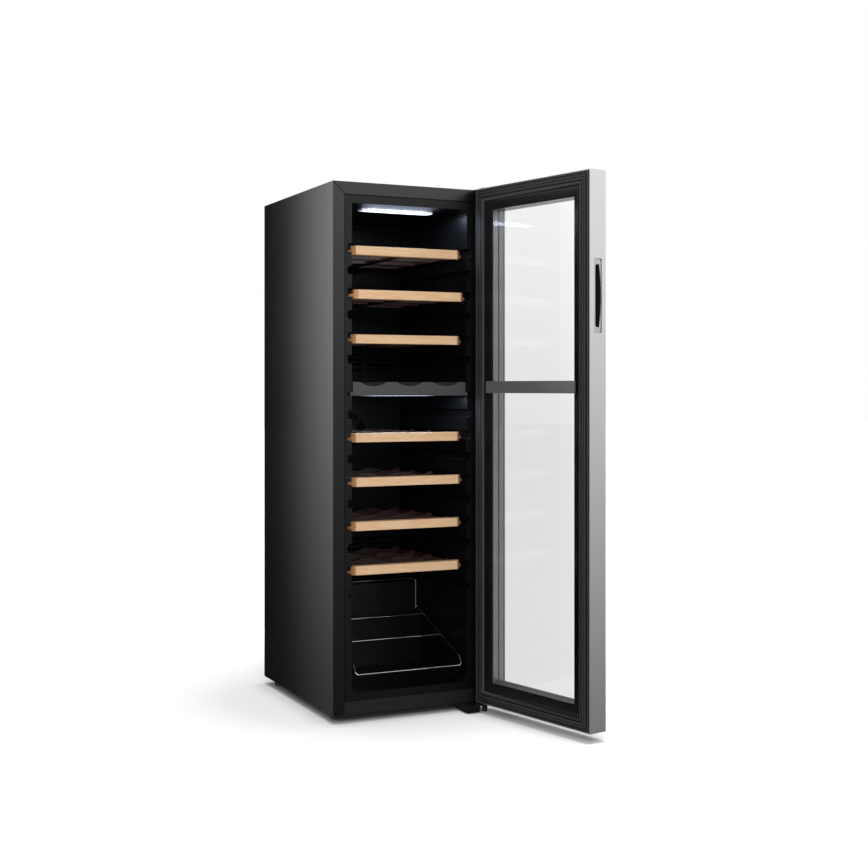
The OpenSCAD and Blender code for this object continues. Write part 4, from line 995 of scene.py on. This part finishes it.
@dataclass
class Studio:
    """Camera, lamps, world and floor.

    Attributes:
        camera_at: Camera's place.
        yaw: Turn of the camera to the right of +Y, in degrees.
        lens: Focal length in millimetres.
        shift: Vertical shift of the lens.
        sensor: Width of the film in millimetres.
        far: Distance past which the camera sees nothing.
        floor_size: Side of the floor.
        pale_from: Distance from the origin where the floor's grey starts to turn white.
        pale_to: Distance where it is all white.
        painted_floor_shade: Colour of the floor round the object: a grey that is painted shade round it, and
            that keeps its real shadow from clipping to white.
        floor_far: Its colour further away.
        glow_colour: Colour of the lamps that add the zone lights' spill.
        glow_x: Their distance from the middle.
        glow_size: Their width and depth.
        up_light: Power of the lamp that shines up beside a lens, and its distance below the lens.
        down_light: Power of the lamp that shines down from a lens, and its distance below the lens.
        sun_power: Strength of the light from straight above.
        sun_angle: Angle that it spreads over, in degrees.
        sun_height: Height that its lamp is drawn at, which doesn't change its light.
        soft_at: Place of the front softbox.
        soft_towards: Point that it faces.
        soft_size: Its width and height.
        soft_power: Its power in watts.
        ambient: Brightness of the world from below and from above.
        ambient_steps: Heights of a unit direction that count as below and above.
        card_at: Middle of the light card beside the cabinet.
        card_size: Its width and height.
        card_glow: Its brightness low down and high up.
        card_heights: Heights between which its brightness rises.
        card_fade: Where it is dark and where it is at full brightness, along X.
        surroundings: What gloss shows: compass angle in degrees from +X, then the brightness low down,
            at the horizon and high up.
        steps: Heights of a unit direction that count as low down, the horizon and high up.
        ceiling: Brightness of the ceiling in gloss.
        ceiling_steps: Heights of a unit direction where the ceiling starts and where it is at its full.
        through_glass: Brightness of the floor, the horizon and the wall as seen through glass.
        wall_from: Height of a unit direction where the wall seen through glass is at its full.
    """

    camera_at: tuple[float, float, float] = (-1.1828, -2.8352, 0.6809)
    yaw: float = 25.38
    lens: float = 57.15
    shift: float = -0.0525
    sensor: float = 36.0
    far: float = 100.0
    floor_size: float = 40.0
    pale_from: float = 0.3
    pale_to: float = 0.8
    painted_floor_shade: str = "#d0d0d0"
    floor_far: str = "#ffffff"
    glow_colour: str = "#cfe2ff"
    glow_x: float = 10 * MM
    glow_size: tuple[float, float] = (0.16, 0.05)
    up_light: tuple[float, float] = (0.07, 22 * MM)
    down_light: tuple[float, float] = (0.5, 2 * MM)
    sun_power: float = 2.3
    sun_angle: float = 5
    sun_height: float = 3.0
    soft_at: tuple[float, float, float] = (-1.1, -2.6, 2.0)
    soft_towards: tuple[float, float, float] = (0, 0, 0.6)
    soft_size: tuple[float, float] = (2.0, 1.6)
    soft_power: float = 42
    ambient: tuple[float, float] = (0.26, 0.60)
    ambient_steps: tuple[float, float] = (-0.2, 0.6)
    card_at: tuple[float, float, float] = (-0.80, 0.42, 0.60)
    card_size: tuple[float, float] = (1.0, 1.6)
    card_glow: tuple[float, float] = (0.25, 1.95)
    card_heights: tuple[float, float] = (-0.3, 1.1)
    card_fade: tuple[float, float] = (-0.325, -0.46)
    surroundings: tuple[tuple[float, float, float, float], ...] = (
        (-180, 0.40, 0.70, 0.90), (-168, 0.40, 0.70, 0.90), (-155, 0.9, 4.0, 6.0), (-142, 0.10, 0.50, 0.9),
        (-90, 0.0, 0.42, 1.7), (-64, 0.0, 0.38, 2.3), (-50, 0.02, 0.60, 1.7), (-36, 0.03, 0.78, 1.32),
        (0, 0.20, 0.90, 1.2), (45, 0.20, 0.40, 0.5), (85, 0.02, 0.02, 0.03), (118, 0.02, 0.02, 0.03),
        (138, 0.60, 1.20, 1.3), (180, 0.40, 0.70, 0.90))
    steps: tuple[float, float, float] = (-0.25, 0.0, 0.16)
    ceiling: float = 0.12
    ceiling_steps: tuple[float, float] = (0.28, 0.48)
    through_glass: tuple[float, float, float] = (0.94, 1.0, 1.14)
    wall_from: float = 0.15

    def camera(self) -> None:
        """Place the camera."""
        data = bpy.data.cameras.new("camera")
        data.lens = self.lens
        data.sensor_width = self.sensor
        data.shift_y = self.shift
        data.clip_end = self.far
        camera = bpy.data.objects.new("camera", data)
        camera.location = self.camera_at
        camera.rotation_euler = (math.radians(90), 0, math.radians(-self.yaw))
        bpy.context.scene.collection.objects.link(camera)
        bpy.context.scene.camera = camera

    def area_lamp(self, name: str, at: Sequence[float], turn: Sequence[float], size: tuple[float, float],
                  power: float, colour: str = "#ffffff") -> bpy.types.Object:
        """Hang a rectangular soft lamp that the camera doesn't see.

        Args:
            name: Name of the lamp.
            at: Its place.
            turn: Its turn about X, Y and Z in radians. Unturned, it shines down.
            size: Width and height.
            power: Power in watts.
            colour: Colour of its light.

        Returns:
            The lamp.
        """
        data = bpy.data.lights.new(name, "AREA")
        data.shape = "RECTANGLE"
        data.size, data.size_y = size
        data.energy = power
        data.color = linear(colour)[:3]
        lamp = bpy.data.objects.new(name, data)
        lamp.location = at
        lamp.rotation_euler = turn
        lamp.visible_camera = False
        bpy.context.scene.collection.objects.link(lamp)
        return lamp

    def ceiling_light(self) -> None:
        """Light straight down, which keeps the shadow right under the object."""
        data = bpy.data.lights.new("ceiling_light", "SUN")
        data.energy = self.sun_power
        data.angle = math.radians(self.sun_angle)
        lamp = bpy.data.objects.new("ceiling_light", data)
        lamp.location = (0, 0, self.sun_height)
        lamp.visible_glossy = False
        bpy.context.scene.collection.objects.link(lamp)

    def zone_lights(self) -> None:
        """Add each zone light's spill: up on the ceiling, and down on walls and shelves."""
        for zone in ("upper", "lower"):
            low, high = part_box(f"{zone}_light")
            middle = (low[1] + high[1]) / 2
            for kind, (power, below), turn in (("glow", self.up_light, math.pi),
                                               ("light", self.down_light, 0.0)):
                self.area_lamp(f"{zone}_zone_{kind}", (self.glow_x, middle, low[2] - below), (turn, 0, 0),
                               self.glow_size, power, self.glow_colour)

    def front_softbox(self) -> None:
        """Hang the big soft lamp in front, which gloss doesn't show."""
        aim = Vector(self.soft_towards) - Vector(self.soft_at)
        lamp = self.area_lamp("front_softbox", self.soft_at, aim.to_track_quat("-Z", "Y").to_euler(),
                              self.soft_size, self.soft_power)
        lamp.visible_glossy = False

    def compass(self, tree: bpy.types.NodeTree, angle: bpy.types.NodeSocket,
                column: int) -> bpy.types.NodeSocket:
        """Brightness round the horizon, from the surroundings' table.

        Args:
            tree: The world's node tree.
            angle: Compass angle as a share of a turn, 0 at -X and counter-clockwise from there.
            column: Column of the table.

        Returns:
            The brightness's output socket.
        """
        ramp = add_node(tree, "ShaderNodeValToRGB", {}, {"Fac": angle})
        elements = ramp.color_ramp.elements
        while len(elements) < len(self.surroundings):
            elements.new(0.5)
        for element, row in zip(elements, self.surroundings):
            element.position = (row[0] + 180) / 360
            element.color = (row[column], row[column], row[column], 1)
        return ramp.outputs["Color"]

    def world(self) -> None:
        """Build the world: white ahead and through glass, soft light elsewhere, and for gloss a room.

        The room is bright ahead and to the right, dark behind, and darker downwards.
        """
        world = bpy.data.worlds.new("studio")
        world.use_nodes = True
        bpy.context.scene.world = world
        tree = world.node_tree
        tree.nodes.clear()
        where = add_node(tree, "ShaderNodeTexCoord", {}, {})
        parts = add_node(tree, "ShaderNodeSeparateXYZ", {}, {"Vector": where.outputs["Generated"]})
        up = parts.outputs["Z"]
        angle = add_node(tree, "ShaderNodeMath", {"operation": "ARCTAN2"},
                         {0: parts.outputs["Y"], 1: parts.outputs["X"]})
        share = add_node(tree, "ShaderNodeMapRange", {"From Min": -math.pi, "From Max": math.pi},
                         {"Value": angle.outputs[0]}).outputs["Result"]
        rises = [add_node(tree, "ShaderNodeMapRange", {"From Min": low, "From Max": high},
                          {"Value": up}).outputs["Result"] for low, high in zip(self.steps, self.steps[1:])]
        dusk = add_node(tree, "ShaderNodeMix", {"data_type": "FLOAT"},
                        {0: rises[0], LOW: self.compass(tree, share, 1), HIGH: self.compass(tree, share, 2)})
        gloss = add_node(tree, "ShaderNodeMix", {"data_type": "FLOAT"},
                         {0: rises[1], LOW: dusk.outputs[0], HIGH: self.compass(tree, share, 3)})
        overhead = add_node(tree, "ShaderNodeMapRange", {"From Min": self.ceiling_steps[0],
                                                         "From Max": self.ceiling_steps[1]}, {"Value": up})
        roofed = add_node(tree, "ShaderNodeMix", {"data_type": "FLOAT", HIGH: self.ceiling},
                          {0: overhead.outputs["Result"], LOW: gloss.outputs[0]})
        ambient = add_node(tree, "ShaderNodeMapRange", {"From Min": self.ambient_steps[0],
                                                        "From Max": self.ambient_steps[1],
                                                        "To Min": self.ambient[0],
                                                        "To Max": self.ambient[1]}, {"Value": up})
        pane = add_node(tree, "ShaderNodeMapRange", {"From Min": 0.0, "From Max": self.wall_from,
                                                     "To Min": self.through_glass[1],
                                                     "To Max": self.through_glass[2]}, {"Value": up})
        path = add_node(tree, "ShaderNodeLightPath", {}, {})
        direct = add_node(tree, "ShaderNodeMath", {"operation": "LESS_THAN", 1: 0.5},
                          {0: path.outputs["Diffuse Depth"]})
        mirrored = add_node(tree, "ShaderNodeMath", {"operation": "MULTIPLY", "use_clamp": True},
                            {0: direct.outputs[0], 1: path.outputs["Glossy Depth"]})
        through = add_node(tree, "ShaderNodeMath", {"operation": "MULTIPLY"},
                           {0: path.outputs["Is Transmission Ray"], 1: direct.outputs[0]})
        reflected = add_node(tree, "ShaderNodeMix", {"data_type": "FLOAT"},
                             {0: through.outputs[0], LOW: ambient.outputs["Result"],
                              HIGH: pane.outputs["Result"]})
        behind = add_node(tree, "ShaderNodeMix", {"data_type": "FLOAT"},
                          {0: mirrored.outputs[0], LOW: reflected.outputs[0], HIGH: roofed.outputs[0]})
        seen = add_node(tree, "ShaderNodeMix", {"data_type": "FLOAT", HIGH: 1.0},
                        {0: path.outputs["Is Camera Ray"], LOW: behind.outputs[0]})
        sky = add_node(tree, "ShaderNodeBackground", {"Color": (1, 1, 1, 1)}, {"Strength": seen.outputs[0]})
        add_node(tree, "ShaderNodeOutputWorld", {}, {"Surface": sky.outputs[0]})

    def sheet(self, name: str, place: Matrix, size: tuple[float, float],
              material: bpy.types.Material) -> bpy.types.Object:
        """Add a flat sheet, for the floor or for a card.

        Args:
            name: Name of the sheet.
            place: Its place and turn.
            size: Its two sides.
            material: Its material.

        Returns:
            The new object.
        """
        bm = bmesh.new()
        bmesh.ops.create_grid(bm, x_segments=1, y_segments=1, size=0.5,
                              matrix=place @ Matrix.Diagonal((*size, 1.0, 1.0)))
        mesh = bpy.data.meshes.new(name)
        bm.to_mesh(mesh)
        bm.free()
        mesh.materials.append(material)
        made = bpy.data.objects.new(name, mesh)
        bpy.context.scene.collection.objects.link(made)
        return made

    def floor(self) -> None:
        """Lay a pale floor that takes the object's shadow, grey round the object as painted shade and white
        further out. Gloss shows the world in its place.
        """
        material = bpy.data.materials.new("pale_floor")
        material.use_nodes = True
        tree = material.node_tree
        shader = tree.nodes["Principled BSDF"]
        shader.inputs["Roughness"].default_value = 0.9
        shader.inputs["Specular IOR Level"].default_value = 0.0
        away = add_node(tree, "ShaderNodeVectorMath", {"operation": "LENGTH"},
                        {0: object_coordinates(tree, (1, 1, 1))})
        paler = add_node(tree, "ShaderNodeMapRange", {"From Min": self.pale_from, "From Max": self.pale_to},
                         {"Value": away.outputs["Value"]})
        # Grey near the object is painted shade on the floor; it turns white further out.
        tone = add_node(tree, "ShaderNodeValToRGB", {}, {"Fac": paler.outputs["Result"]})
        fill_ramp(tone, [(0.0, self.painted_floor_shade), (1.0, self.floor_far)])
        tree.links.new(tone.outputs["Color"], shader.inputs["Base Color"])
        path = add_node(tree, "ShaderNodeLightPath", {}, {})
        even = add_node(tree, "ShaderNodeEmission", {"Color": (1, 1, 1, 1),
                                                     "Strength": self.through_glass[0]}, {})
        both = add_node(tree, "ShaderNodeMixShader", {},
                        {0: path.outputs["Is Transmission Ray"], 1: shader.outputs[0], 2: even.outputs[0]})
        tree.links.new(both.outputs[0], tree.nodes["Material Output"].inputs["Surface"])
        floor = self.sheet("floor", Matrix.Identity(4), (self.floor_size, self.floor_size), material)
        floor.visible_glossy = False

    def side_card(self) -> None:
        """Stand a light card behind the cabinet's side, seen only in its gloss and fading downwards."""
        material = bpy.data.materials.new("light_card")
        material.use_nodes = True
        tree = material.node_tree
        tree.nodes.clear()
        where = add_node(tree, "ShaderNodeTexCoord", {}, {})
        place = add_node(tree, "ShaderNodeSeparateXYZ", {}, {"Vector": where.outputs["Object"]})
        up = add_node(tree, "ShaderNodeMapRange", {"interpolation_type": "SMOOTHSTEP",
                                                   "From Min": self.card_heights[0],
                                                   "From Max": self.card_heights[1],
                                                   "To Min": self.card_glow[0], "To Max": self.card_glow[1]},
                      {"Value": place.outputs["Z"]})
        across = add_node(tree, "ShaderNodeMapRange", {"From Min": self.card_fade[0],
                                                       "From Max": self.card_fade[1]},
                          {"Value": place.outputs["X"]})
        fade = add_node(tree, "ShaderNodeMath", {"operation": "MULTIPLY"},
                        {0: up.outputs["Result"], 1: across.outputs["Result"]})
        glow = add_node(tree, "ShaderNodeEmission", {"Color": (1, 1, 1, 1)}, {"Strength": fade.outputs[0]})
        add_node(tree, "ShaderNodeOutputMaterial", {}, {"Surface": glow.outputs[0]})
        upright = Matrix.Translation(self.card_at) @ Matrix.Rotation(math.pi / 2, 4, "X")
        card = self.sheet("side_card", upright, self.card_size, material)
        card.visible_camera = False
        card.visible_diffuse = False
        card.visible_transmission = False
        card.visible_shadow = False

    def build(self) -> None:
        """Set up the whole studio."""
        bpy.context.scene.view_settings.view_transform = "Standard"
        self.camera()
        self.world()
        self.floor()
        self.side_card()
        self.ceiling_light()
        self.zone_lights()
        self.front_softbox()


def main() -> None:
    """Build every sub-assembly and the studio, in order."""
    logging.basicConfig(level=logging.INFO)
    for part in (Studio(), Cabinet(), Cavity(), MachineRoom(), Hardware(), Door(), Shelves(), Rack()):
        part.build()


if __name__ == "__main__":
    main()
